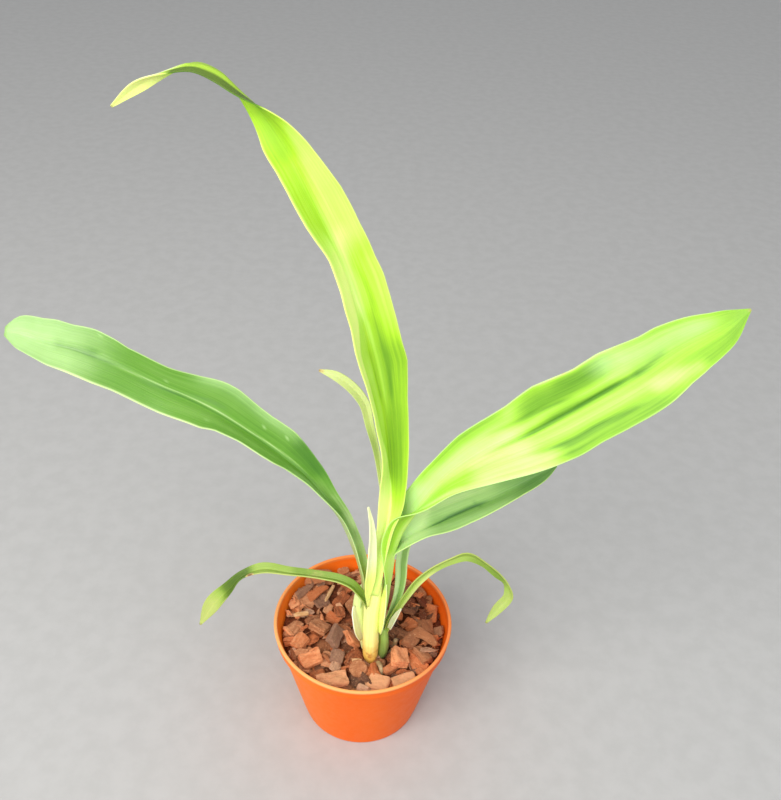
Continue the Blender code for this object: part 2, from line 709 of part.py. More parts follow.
def make_pot():
    """The pot with its foot ring, rim band, rounded lip and drain holes."""
    band_bottom = POT_HEIGHT - POT_RIM_HEIGHT
    foot_inner = POT_FOOT_RADIUS - POT_FOOT_WIDTH
    floor_top = POT_FOOT_LIFT + POT_WALL
    profile = [
        (0.0, POT_FOOT_LIFT),
        (foot_inner - POT_CHAMFER, POT_FOOT_LIFT),
        (foot_inner, 0.0),
        (POT_FOOT_RADIUS, 0.0),
        (pot_outer_radius(band_bottom), band_bottom),
        (POT_RIM_RADIUS - POT_CHAMFER / 2, band_bottom),
    ]
    profile += pot_lip()
    profile += [
        (pot_inner_radius(band_bottom), band_bottom - POT_CHAMFER),
        (pot_inner_radius(floor_top + POT_CHAMFER), floor_top + POT_CHAMFER),
        (pot_inner_radius(floor_top) - POT_CHAMFER, floor_top),
        (0.0, floor_top),
    ]
    pot = lathe("pot", profile)
    drills = []
    for k in range(DRAIN_HOLES):
        angle = 2 * math.pi * (k + 0.5) / DRAIN_HOLES
        x = DRAIN_CIRCLE * math.cos(angle)
        y = DRAIN_CIRCLE * math.sin(angle)
        drill = [(x, y, -DRILL_REACH, DRAIN_RADIUS), (x, y, DRILL_REACH, DRAIN_RADIUS)]
        drills.append(tube(f"drill_{k}", drill, 1, DRAIN_SIDES, "pot"))
    cut(pot, drills)
    return pot


def hull(name, points, owner):
    """The convex solid round some points."""
    mesh = bpy.data.meshes.new(name)
    bm = bmesh.new()
    for point in points:
        bm.verts.new(Vector(point) * MM)
    made = bmesh.ops.convex_hull(bm, input=bm.verts)
    spare = set(made["geom_interior"]) | set(made["geom_unused"])
    loose = [item for item in bm.verts if item in spare]
    bmesh.ops.delete(bm, geom=loose, context="VERTS")
    bmesh.ops.recalc_face_normals(bm, faces=bm.faces)
    bm.to_mesh(mesh)
    bm.free()
    return place(name, mesh, owner)


def inside_pot(point):
    """The point, moved in where it would reach the pot's wall."""
    x, y, z = point
    limit = pot_inner_radius(min(z, POT_HEIGHT)) - CHIP_WALL_GAP
    reach = math.hypot(x, y)
    scale = min(1.0, limit / reach) if reach else 1.0
    return (x * scale, y * scale, z)


def laid(middle, turn, tilt, points):
    """The points of a chip, turned about Z and tilted, set at its place in the pot."""
    turned = Matrix.Rotation(math.radians(turn), 3, "Z") @ Matrix.Rotation(math.radians(tilt), 3, "X")
    return [inside_pot(Vector(middle) + turned @ point) for point in points]


def chip_points(rng, middle, size, turn, tilt):
    """Corners of one chip: a flat block with uneven corners and two blunt noses."""
    length, width, thickness = size
    points = []
    for sx in (-1, 1):
        for sy in (-1, 1):
            for sz in (-1, 1):
                x = sx * length / 2 * rng.uniform(*CHIP_CORNER)
                y = sy * width / 2 * rng.uniform(*CHIP_CORNER)
                z = sz * thickness / 2 * rng.uniform(*CHIP_FACE)
                points.append(Vector((x, y, z)))
    end = length / 2 * rng.uniform(*CHIP_FACE)
    points.append(Vector((end, rng.uniform(*CHIP_NOSE) * width, 0)))
    along = rng.uniform(*CHIP_NOSE) * length
    points.append(Vector((along, width / 2 * rng.uniform(*CHIP_FACE), 0)))
    return laid(middle, turn, tilt, points)


def round_chip_points():
    x, y, z, radius, thickness, turn, tilt = ROUND_CHIP
    points = []
    for k in range(ROUND_CHIP_SIDES):
        angle = 2 * math.pi * k / ROUND_CHIP_SIDES
        for side, wide in ((1, radius), (-1, radius * ROUND_CHIP_TAPER)):
            spoke = (wide * math.cos(angle), wide * math.sin(angle), side * thickness / 2)
            points.append(Vector(spoke))
    return laid((x, y, z), turn, tilt, points)


def scattered_chips(rng):
    """Place and shape of the chips that follow the rule: an even spiral with some play."""
    taken = [(c[0], c[1], c[3] / 2) for c in FRONT_CHIPS]
    taken.append((ROUND_CHIP[0], ROUND_CHIP[1], ROUND_CHIP[3]))
    reach = pot_inner_radius(BED_TOP) - CHIP_MARGIN
    golden = math.pi * (3 - math.sqrt(5))
    chips = []
    for k in range(CHIP_COUNT):
        radius = reach * math.sqrt((k + 0.5) / CHIP_COUNT)
        x = radius * math.cos(k * golden) + rng.uniform(-CHIP_PLAY, CHIP_PLAY)
        y = radius * math.sin(k * golden) + rng.uniform(-CHIP_PLAY, CHIP_PLAY)
        length = rng.uniform(*CHIP_LENGTH)
        width = length * rng.uniform(*CHIP_WIDTH_SHARE)
        thickness = rng.uniform(*CHIP_THICKNESS)
        turn = rng.uniform(0, 360)
        tilt = rng.uniform(-CHIP_TILT, CHIP_TILT)
        z = BED_TOP + rng.uniform(*CHIP_PROUD)
        if any(math.hypot(x - a, y - b) < CHIP_CROWDING * c for a, b, c in taken):
            z -= CHIP_SUNK
        chips.append(((x, y, z), (length, width, thickness), turn, tilt))
    return chips


def make_bark_bed(growths):
    """The filling of the pot, with its chips fused on and plain holes for the growths."""
    bottom = POT_FOOT_LIFT + POT_WALL + GAP
    shoulder = BED_TOP - BED_SHOULDER
    profile = [
        (0.0, bottom),
        (pot_inner_radius(bottom) - BED_CHAMFER - GAP, bottom),
        (pot_inner_radius(bottom + BED_CHAMFER) - GAP, bottom + BED_CHAMFER),
        (pot_inner_radius(shoulder) - GAP, shoulder),
        (pot_inner_radius(BED_TOP) - BED_CHAMFER - GAP, BED_TOP),
        (0.0, BED_TOP),
    ]
    name = "bark_bed"
    bed = lathe(name, profile)
    rng = random.Random(CHIP_SEED)
    chips = [hull("chip_round", round_chip_points(), name)]
    for k, (x, y, z, length, width, thickness, turn, tilt) in enumerate(FRONT_CHIPS):
        points = chip_points(rng, (x, y, z), (length, width, thickness), turn, tilt)
        chips.append(hull(f"chip_front_{k}", points, name))
    for k, chip in enumerate(scattered_chips(rng)):
        chips.append(hull(f"chip_{k}", chip_points(rng, *chip), name))
    boolean(bed, chips, "UNION")
    cut(bed, growths, "MANIFOLD")
    return bed


def make_plant():
    """Every piece of the plant, each cut back to GAP from the pieces that it clasps."""
    stem("pseudostem")
    for name in ("back_bulb", "side_bulb"):
        cut(stem(name), [stem("pseudostem", GAP)])
    rhizome_and_roots()
    clasped = {
        "leaf_tall": ["pseudostem"],
        "leaf_right": ["pseudostem", "leaf_tall"],
        "leaf_inner": ["leaf_tall", "leaf_right"],
        "upper_bract": ["pseudostem", "leaf_tall", "leaf_right"],
        "leaf_right_low": ["pseudostem", "side_bulb", "leaf_tall", "leaf_right"],
        "lower_bract": ["pseudostem", "side_bulb", "leaf_right_low", "leaf_right"],
        "leaf_low_left": ["pseudostem", "upper_bract"],
        "leaf_left": ["pseudostem", "back_bulb", "leaf_low_left", "leaf_right"],
        "torn_sheath": ["pseudostem", "back_bulb"],
        "side_leaf": ["side_bulb", "leaf_right_low", "lower_bract"],
        "leaf_low_right": ["side_bulb", "leaf_right_low", "side_leaf"],
        "dry_scale": ["side_bulb", "leaf_low_right", "leaf_right_low", "side_leaf"],
    }
    for name, others in clasped.items():
        cut(blade(name), [growth(other, GAP) for other in others])


def growth(name, grow):
    return stem(name, grow) if name in STEMS else blade(name, grow)


def shade(obj):
    obj.data.shade_smooth()
    obj.data.set_sharp_from_angle(angle=math.radians(SHARP_ANGLE))


def main():
    for obj in list(bpy.data.objects):
        bpy.data.objects.remove(obj)
    make_pot()
    make_plant()
    growths = [growth(name, GAP) for name in (*STEMS, "torn_sheath")]
    growths.append(rhizome_and_roots(GAP))
    make_bark_bed(growths)
    whole = bpy.data.objects.new("potted_orchid", None)
    for obj in bpy.context.scene.objects:
        shade(obj)
        obj.parent = whole
    bpy.context.scene.collection.objects.link(whole)


main()
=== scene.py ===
"""The looks of the potted orchid: fine leaves, stems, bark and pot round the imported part.

Sizes are in millimetres and are turned into metres when a mesh is made. X runs to
the right, Y to the back and Z up, as in the part.
"""

import math
import random

import bmesh
import bpy
import numpy as np
from mathutils import Matrix, Vector, noise


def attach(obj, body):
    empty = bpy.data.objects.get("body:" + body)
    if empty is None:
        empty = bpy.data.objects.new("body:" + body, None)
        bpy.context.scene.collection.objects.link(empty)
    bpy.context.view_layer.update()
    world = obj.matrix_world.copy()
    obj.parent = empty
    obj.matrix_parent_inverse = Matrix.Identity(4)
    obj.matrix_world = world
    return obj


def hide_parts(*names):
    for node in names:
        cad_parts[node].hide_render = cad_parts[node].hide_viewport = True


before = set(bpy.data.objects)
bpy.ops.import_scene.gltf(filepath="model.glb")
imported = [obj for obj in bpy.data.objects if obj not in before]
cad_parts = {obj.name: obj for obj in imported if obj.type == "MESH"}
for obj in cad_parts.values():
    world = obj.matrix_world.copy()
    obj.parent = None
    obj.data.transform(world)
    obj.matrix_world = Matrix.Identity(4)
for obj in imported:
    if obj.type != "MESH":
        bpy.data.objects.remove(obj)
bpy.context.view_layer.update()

MM = 0.001
BODY = "root"
SHARP_EDGE = 32

# The pot, as in the part
POT_HEIGHT = 62
POT_RIM_RADIUS = 45
POT_RIM_HEIGHT = 6.5
POT_RIM_OVERHANG = 2.2
POT_FOOT_RADIUS = 30.5
POT_FOOT_WIDTH = 3
POT_FOOT_LIFT = 1.5
POT_WALL = 1.2
POT_LIP_RADIUS = 0.85
POT_LIP_INSET = 1.85
POT_LEDGE = (0.9, 0.6)
POT_SHOULDER_DROP = 2.4
POT_BAND_INSET = 1.3
POT_BAND_ROUND = 0.55
POT_BAND_FILLET = 0.5
POT_BAND_TAPER = (0.62, 0.58)
POT_BAND_STEP = 1.4
POT_FOOT_ROUND = 0.9
POT_FLOOR_ROUND = 1.0
OUTER_RINGS = (6, 14, 24, 34, 44, 52)
INNER_RINGS = (48, 40, 30, 20, 10)
POT_SEGMENTS = 144
DRAIN_HOLES = 6
DRAIN_RADIUS = 3
DRAIN_CIRCLE = 19
DRILL_REACH = (-4, 7)
DRILL_SIDES = 32

# The large chips of bark, as in the part
BED_TOP = 53
CHIP_COUNT = 44
CHIP_SEED = 12
CHIP_LENGTH = (8.5, 13.5)
CHIP_WIDTH_SHARE = (0.55, 0.85)
CHIP_THICKNESS = (2.6, 4.6)
CHIP_TILT = 34
CHIP_PLAY = 1.2
CHIP_PROUD = (0.6, 2.4)
CHIP_SUNK = 1.6
CHIP_CROWDING = 0.75
CHIP_MARGIN = 4
CHIP_WALL_GAP = 0.6
CHIP_CORNER = (0.62, 1)
CHIP_FACE = (0.8, 1)
CHIP_NOSE = (-0.2, 0.2)
ROUND_CHIP_SIDES = 10
ROUND_CHIP_TAPER = 0.9
CHIP_BEVEL = 0.42
FLATTER = (0.55, 0.8, 0.45, 1, 0.65)
CHIP_SPLITS = 5

# The wear of a chip: how fine its swellings, layers, cracks and pits are, and how deep
SWELL_SCALE = (0.13, 0.2, 0.3)
SWELL = 1.1
LAYER_SCALE = (0.14, 0.22, 1.9)
LAYERS = 4
LAYER_DEPTH = 0.18
LAYER_EDGE = 4
LAYER_FLAT = 1.5
CRACK_SCALE = (0.22, 0.95, 0.5)
CRACK_WIDTH = 0.06
CRACK_DEPTH = 0.34
PIT_SCALE = 0.9
PIT_DEPTH = 0.3

# The crumbs between them
CRUMBS = 210
CRUMBS_AT_WALL = 75
CRUMB_SEED = 5
CRUMB_LENGTH = (3, 9.5)
CRUMB_WIDTH_SHARE = (0.35, 0.9)
CRUMB_THICKNESS_SHARE = (0.12, 0.28)
CRUMB_TILT = 38
CRUMB_PROUD = (0.6, 3.6)
CRUMB_SUNK = 0.2
CRUMB_MARGIN = 1.6
CRUMB_WALL_BELT = (0.4, 4)
STEM_FOOT = (5, -17)
STEM_CLEAR = 7
FRONT_CHIP_CLEAR = 0.42

# The fill under the chips, painted dark as shade deep between them
FILL_RINGS = 26
FILL_SIDES = 96
FILL_WALL_GAP = 0.4
FILL_FOOT_GAP = 0.5
FILL_FLOOR_GAP = 0.3
FILL_SUNK = 0.6
FILL_LUMPS = 1.1
FILL_SCALE = 0.45
FILL_SEED = 2
# The fill's tint and hue, dark as painted shade
FILL_PAINTED_SHADE_TONE = (0.1, 0.2)

# How rough each kind of chip is, how finely it is split, and how light and what hue it is
FRONT_ROUGHNESS = 0.8
CHIP_ROUGHNESS = 1
CRUMB_ROUGHNESS = 0.6
SLIVER_ROUGHNESS = 0.3
FLAKE_ROUGHNESS = 0.7
FINE_CHIP = 0.8
COARSE_CHIP = 1.1
SEED_STEPS = (7.3, 3.1, 1.7)
SHADE_SEED = 40
HUE_REACH = 0.86
TINT_REACH = 0.72
LEAST_TINT = 0.12
# Painted light: how much darker the chips get from the left to the right
PAINTED_LIGHT_ACROSS = 0.28
STRAW_HUE = 1.5
ROUND_TONE = (0.62, 0.62)
# The front chips' tint and hue; the first three, at the very front, are made lighter as painted light where
# the plant shades them.
FRONT_TONES = (
    (0.84, 0.42), (0.94, 0.46), (0.94, 0.55), (0.5, 1), (0.46, 0.95), (0.72, 0.2), (0.8, 0.25),
    (0.62, 0.35), (0.46, 0.65), (0.62, 0.45), (0.42, 0.6), (0.74, 0.2), (0.66, 0.3), (0.64, 0.55),
)

# The chips at the front, as in the part: x, y, height, length, width, thickness, turn and tilt
FRONT_CHIPS = [
    (-13.1, -34.2, 55.6, 18.7, 9.8, 3.1, 12, 4), (8.6, -34.6, 55.8, 12.3, 11.3, 3.1, -14, 5),
    (21.6, -32.3, 55.4, 14.7, 9.3, 2.9, 24, -4), (-12, -20.3, 56, 8.8, 7.4, 3.5, 80, 24),
    (-13.2, -8.7, 57.2, 12.3, 8.3, 3.7, 72, 40), (-5.3, -10.1, 57.6, 10.8, 7.5, 3.3, 118, 58),
    (19.2, -19.5, 57.4, 12.3, 10.3, 5.3, 100, 34), (14.9, -25, 55.6, 9.8, 4.5, 3.3, 40, 14),
    (24.9, -8.3, 56.8, 10.3, 7.9, 4.1, 64, 30), (30, -17, 56.6, 11.3, 7.9, 3.9, 130, 26),
    (32.6, 0.5, 56.4, 11.8, 8.2, 3.9, 96, 22), (-24.2, -21.9, 56.2, 11.8, 9.4, 3.7, 28, 16),
    (-31.1, -12.1, 56.2, 10.8, 8.4, 4.3, 60, 18), (-21.8, -2.4, 56.6, 11.3, 8.8, 4.3, 150, 24),
]
ROUND_CHIP = (-1, -27.4, 56.4, 4.8, 2.9, 20, 12)

# The few straw-coloured slivers of inner bark, in the same order
SLIVER_SEED = 9
SLIVER_TINT = 0.68
SLIVERS = [
    (-18.3, 18.5, 58.9, 13.5, 2, 1, 71, 24), (-32, 4.2, 57.8, 10.5, 2.6, 0.9, 14, 42),
    (-1.9, -22.8, 57.6, 6, 1.6, 1, 4, 30),
]

# Thin flakes that lie on the chips or lean on the wall, in the same order, and their tint and hue
FLAKE_SEED = 3
FLAKE_TAPER = 1.3
FLAKES = [
    (-24.8, 18.6, 58.6, 16.5, 6, 1.3, 43, 26, 0.5, 0.3),
    (-31.6, 19.6, 58.6, 13.5, 5.4, 1.2, 48, 20, 0.42, 0.8),
    (-27, 26.6, 59.2, 11.5, 6, 1.3, -1, 30, 0.58, 0.38),
    (-22.5, 31.6, 59.4, 9, 5.6, 1.4, 7, 46, 0.55, 0.5),
    (-12, 34, 59.2, 8, 5.6, 1.4, 35, 52, 0.6, 0.34),
    (32, -8, 58.8, 17, 7.4, 1.3, -38, 18, 0.52, 0.48),
    (33, -15.5, 58.4, 10, 3, 1, -1, 12, 0.62, 0.8),
    (-29.4, -20.2, 58.4, 8.4, 4, 1.4, 17, 22, 0.66, 0.55),
]

# The blades, as in the part, with a finer section
BLADE_THICKNESS = 0.62
KEEL_EXTRA = 0.45
KEEL_REACH = 0.22
KEEL_BLEND = 0.15
KEEL_HALF_WIDTH = 4
KEEL_END = 0.6
KEEL_FADE = 0.2
TIP_HALF_WIDTH = 0.35
LEAF_TOP = 332.38
FOLD_LIMIT = 0.45
WAVE_RISE = 6.4
WAVE_SHIFT = 2.1
WANDER_SHARE = 0.35
WANDER_PER_MM = 0.09
MARGIN_ROUND = 0.95
SECTION_STEPS = 48
HALF_COLUMNS = 20
ROW_STEP = 1.7
FEWEST_ROWS = 40
LEAF_FRONT = (0, -0.8, 0.6)
ALONG_UNIT = 100

# Each leaf's stations, as in the part: x, y, z, the width left and right of the
# midrib, roll, fold, and curl for each millimetre of width
LEAVES = {
    "leaf_tall": [
        (5.4, -22, 104, 2, 2, 0, 0, 14), (6, -20.6, 112, 3, 2.8, 0, 0, 14),
        (6.8, -18.6, 121.5, 3.6, 3.2, 0, 6, 12), (8, -16.8, 131.6, 4.2, 4, 0, 22, 8),
        (9.6, -15.4, 143.4, 5.3, 5.1, 0, 38, 3), (10.6, -14.6, 153.2, 6.3, 6.9, 2, 42, 0),
        (10.6, -13.2, 165, 7.3, 7.7, 10, 46, 0), (9.8, -11.7, 176.8, 8.1, 7.9, 22, 48, 0),
        (6.5, -8.7, 200.4, 10.4, 9.6, 30, 38, 0), (1.1, -4.8, 223, 11.8, 12.4, 33, 34, 0),
        (-5.7, -0.9, 247.5, 11.8, 12.8, 33, 34, 0), (-13.6, 2.1, 269.1, 10.8, 12.4, 28, 32, 0),
        (-22.4, 5, 286.8, 10.2, 11.4, 12, 30, 0), (-32.2, 8, 304.9, 8.2, 9.4, -20, 26, 0),
        (-41.1, 10.9, 316.7, 6.1, 7.3, -58, 26, 0), (-48.9, 11.9, 324.1, 5.5, 5.9, -95, 28, 0),
        (-56.8, 13.9, 330, 4.9, 4.9, -125, 28, 0), (-64.7, 13.9, 332.4, 4.1, 4.1, -130, 22, 0),
        (-75.5, 14.9, 329, 3.3, 3.3, -100, 18, 0), (-86.3, 15.8, 323.1, 2.9, 2.9, -60, 12, 0),
        (-97.1, 16.8, 314.8, 0.5, 0.5, -50, 5, 0),
    ],
    "leaf_right": [
        (10, -16.9, 75, 0.8, 0.8, -80, 0, 9), (10.6, -17.2, 84, 2.2, 2.6, -84, 4, 9),
        (11.2, -17.4, 94, 3, 3.6, -86, 10, 9), (12, -17.2, 104, 4, 4.4, -88, 18, 8),
        (12.8, -16.6, 113, 4.8, 5.2, -88, 28, 6), (13.4, -15.8, 121, 5.6, 6.2, -86, 38, 4),
        (14.4, -15, 129, 6.6, 7.4, -84, 46, 3), (16.8, -14.5, 138, 7.6, 8.2, -82, 56, 1),
        (20.2, -14.3, 146, 8.2, 9.2, -74, 62, 0), (25.2, -14, 155.6, 9.4, 9.4, -44, 52, 0),
        (33.2, -13.5, 168.6, 11, 9.8, -18, 40, 0), (48.3, -11.7, 182.7, 12.6, 13.4, 0, 22, 0),
        (68.9, -9.7, 195.5, 14.9, 16.7, 0, 12, 0), (90.5, -7.7, 210.2, 14.9, 17.7, 0, 12, 0),
        (108.2, -5.8, 223.9, 13.7, 17.2, 0, 12, 0), (125.9, -2.8, 237.7, 10.8, 12.8, 0, 12, 0),
        (138.6, -0.9, 245.5, 6.4, 8.3, 0, 10, 0), (147.5, 1.1, 251.4, 0.5, 0.5, 0, 0, 0),
    ],
    "leaf_right_low": [
        (10.8, -12.4, 84, 0.9, 0.9, 0, 20, 6), (11.2, -11.8, 95, 1.8, 1.8, -10, 24, 6),
        (11.6, -11.2, 106, 2.2, 2.2, -16, 30, 6), (12.4, -10.8, 116, 3, 3.2, -20, 40, 4),
        (14.2, -10.7, 124.4, 5, 6, -24, 48, 2), (19.2, -10.2, 131, 8.6, 9.4, -26, 48, 0),
        (26.7, -6.8, 134.6, 11.4, 11.2, -28, 42, 0), (34.5, -3.8, 136.1, 12.8, 12, -30, 36, 0),
        (48.3, 1.1, 139.5, 13.3, 11.2, -30, 34, 0), (66, 6, 147.3, 10.8, 8.4, -28, 30, 0),
        (78.7, 9, 155.2, 5.9, 4.9, -20, 24, 0), (85.6, 9.9, 160.1, 0.5, 0.5, -10, 10, 0),
    ],
    "leaf_left": [
        (-0.2, -13.4, 84, 1.2, 1.2, 20, 20, 10), (0.2, -14.6, 96, 3, 2.6, 30, 40, 8),
        (-0.4, -15.2, 108, 5, 3.4, 44, 58, 2), (-2.6, -15, 119, 6.4, 4, 46, 60, 0),
        (-6.2, -14, 131, 7.2, 4.6, 46, 58, 0), (-11.2, -12.3, 143, 7.6, 5.4, 44, 56, 0),
        (-17.8, -10.7, 152.6, 7.8, 6.9, 40, 54, 0), (-25.4, -8.7, 162.1, 8.8, 8.8, 34, 48, 0),
        (-37.2, -6.8, 172.9, 9.8, 10.8, 26, 40, 0), (-53.8, -3.8, 184.7, 10.6, 12, 18, 32, 0),
        (-69.6, -1.8, 194.5, 11, 12.4, 8, 26, 0), (-86.3, 0.1, 202.3, 11.6, 10, 0, 22, 0),
        (-102.9, 2.1, 210.2, 11.8, 9.4, 0, 20, 0), (-120.6, 4, 216.1, 10.8, 10.2, 2, 20, 0),
        (-136.3, 5, 219, 8.3, 9.3, 4, 18, 0), (-146.2, 6, 221.5, 5.9, 6.4, 4, 14, 0),
        (-151.1, 6, 222, 1.8, 1.8, 4, 8, 0),
    ],
    "leaf_low_left": [
        (3.2, -19.4, 90, 0.8, 0.8, 40, 30, 6), (1, -20.2, 97.4, 2.2, 2.2, 42, 36, 4),
        (-2, -20.6, 103.8, 2.8, 2.8, 44, 34, 0), (-5.4, -20.2, 107.8, 3, 3, 46, 34, 0),
        (-10.4, -19.4, 109.8, 3, 3, 50, 34, 0), (-18.9, -18, 110.2, 2.9, 2.9, 56, 30, 0),
        (-34.2, -16.6, 110.6, 3.1, 3.1, 52, 28, 0), (-47, -15.6, 111, 3.3, 3.3, 46, 26, 0),
        (-55.8, -15.6, 106.1, 2.9, 2.9, 56, 28, 0), (-62.7, -15.6, 97.2, 3.5, 3.7, 30, 26, 0),
        (-71.5, -16.6, 86.5, 3.9, 4.1, 8, 18, 0), (-78.4, -17.6, 72.7, 0.5, 0.5, 0, 5, 0),
    ],
    "leaf_low_right": [
        (11.4, -15.4, 68.8, 0.9, 0.9, 0, 20, 8), (13.1, -15, 76.6, 1.6, 1.6, 0, 42, 0),
        (16.3, -14.2, 85.5, 2, 2, 5, 46, 0), (20.8, -12.6, 94.8, 2.2, 2.2, 10, 45, 0),
        (25.7, -11.7, 104.1, 2.4, 2.4, 20, 40, 0), (32.6, -10.7, 112, 2.4, 2.4, 35, 35, 0),
        (40.4, -9.7, 116.9, 2.6, 2.6, 40, 30, 0), (47.3, -8.7, 118.9, 2.7, 2.7, 30, 26, 0),
        (56.1, -8.7, 114.9, 2.6, 2.6, 55, 26, 0), (63, -9.7, 109, 2.6, 2.6, 50, 26, 0),
        (67.9, -10.7, 104.1, 2.4, 2.4, 65, 26, 0), (69.4, -11.7, 96.3, 2.6, 2.7, 20, 24, 0),
        (65, -12.6, 88.4, 2.6, 2.7, 0, 20, 0), (60.1, -13.6, 78.6, 0.5, 0.5, 0, 5, 0),
    ],
    "leaf_inner": [
        (8.6, -13.9, 135.6, 1, 1, 0, 30, 0), (8.4, -12.2, 151.3, 1.6, 1.6, 0, 46, 0),
        (6.4, -8.8, 165, 1.8, 1.8, -10, 50, 0), (4.1, -5.8, 177.8, 2, 2, -20, 46, 0),
        (1.1, -3.8, 189.6, 2.5, 2.3, -20, 40, 0), (-1.8, -1.8, 199.4, 2.7, 2.6, -10, 34, 0),
        (-7.7, 0.1, 206.3, 2.7, 2.6, 0, 30, 0), (-14.6, 2.1, 210.2, 2.1, 2.1, 0, 24, 0),
        (-21.4, 4, 211.2, 0.5, 0.5, 0, 5, 0),
    ],
    "side_leaf": [
        (11, -13.4, 67.8, 1, 1, 0, 24, 8), (12.9, -12.8, 77.6, 2, 2, 0, 46, 2),
        (15.3, -11.8, 86.5, 2.4, 2.4, 0, 44, 0), (17, -10.6, 95.3, 2.8, 2.8, 0, 40, 0),
        (17.6, -8.7, 103.2, 3.1, 3.1, 0, 34, 0), (17.6, -5.7, 111, 3.2, 3.2, 0, 32, 0),
        (19, -1.8, 117.9, 3, 3, 0, 30, 0), (23.6, 2.1, 124.8, 2.4, 2.4, 0, 26, 0),
        (30.6, 6.1, 130.6, 0.5, 0.5, 0, 10, 0),
    ],
    "upper_bract": [
        (2.8, -23, 97, 1.2, 1.2, 26, 0, 11), (2.6, -23.2, 105, 2.2, 2.2, 28, 0, 11),
        (3.2, -22.8, 114, 2.6, 2.6, 30, 0, 10), (3.6, -22, 123, 2.6, 2.6, 34, 4, 8),
        (3.7, -21, 132, 2.3, 2.3, 36, 8, 6), (3.6, -20.2, 140, 1.9, 1.9, 38, 12, 3),
        (2.8, -19.4, 148.5, 1.2, 1.2, 40, 12, 0), (1.4, -18.6, 156, 0.35, 0.35, 40, 8, 0),
    ],
    "lower_bract": [
        (8.9, -20.8, 76, 0.8, 0.8, -56, 0, 11), (9.4, -21.4, 83, 2.2, 2.2, -56, 0, 11),
        (9.9, -21.5, 92, 2.5, 2.5, -54, 2, 10), (10.3, -21, 101, 1.8, 1.8, -50, 6, 6),
        (10.7, -20, 109.6, 0.35, 0.35, -46, 6, 0),
    ],
    "torn_sheath": [
        (-0.2, -15.4, 64.5, 1.4, 1.4, 40, 0, 13), (-1.5, -15.5, 70, 2.8, 2.9, 40, 0, 13),
        (-2.6, -15.4, 76.4, 3.5, 3.6, 42, 0, 13), (-3.4, -15.2, 82.4, 3, 3.2, 44, 0, 13),
        (-4.2, -15, 87.8, 0.5, 0.5, 46, 0, 0),
    ],
    "dry_scale": [
        (13.3, -16.4, 74.7, 1.1, 1.1, -30, 10, 8), (14.9, -16.4, 80.1, 1.5, 1.5, -34, 16, 6),
        (16.9, -16.4, 85.5, 1.1, 1.1, -40, 16, 0), (18.4, -16.6, 89.4, 0.35, 0.35, -44, 10, 0),
    ],
}

# The waves of a leaf's margins: height, number and phase
WAVES = {
    "leaf_tall": (0.9, 3.2, 0.6), "leaf_right": (1.2, 3.6, 0), "leaf_right_low": (0.8, 2, 1),
    "leaf_left": (0.9, 3.4, 2), "leaf_low_left": (0.2, 3, 0), "leaf_low_right": (0.1, 3, 0),
    "leaf_inner": (0.1, 2, 0), "side_leaf": (0.1, 2, 0),
}
NO_WAVE = (0, 1, 0)
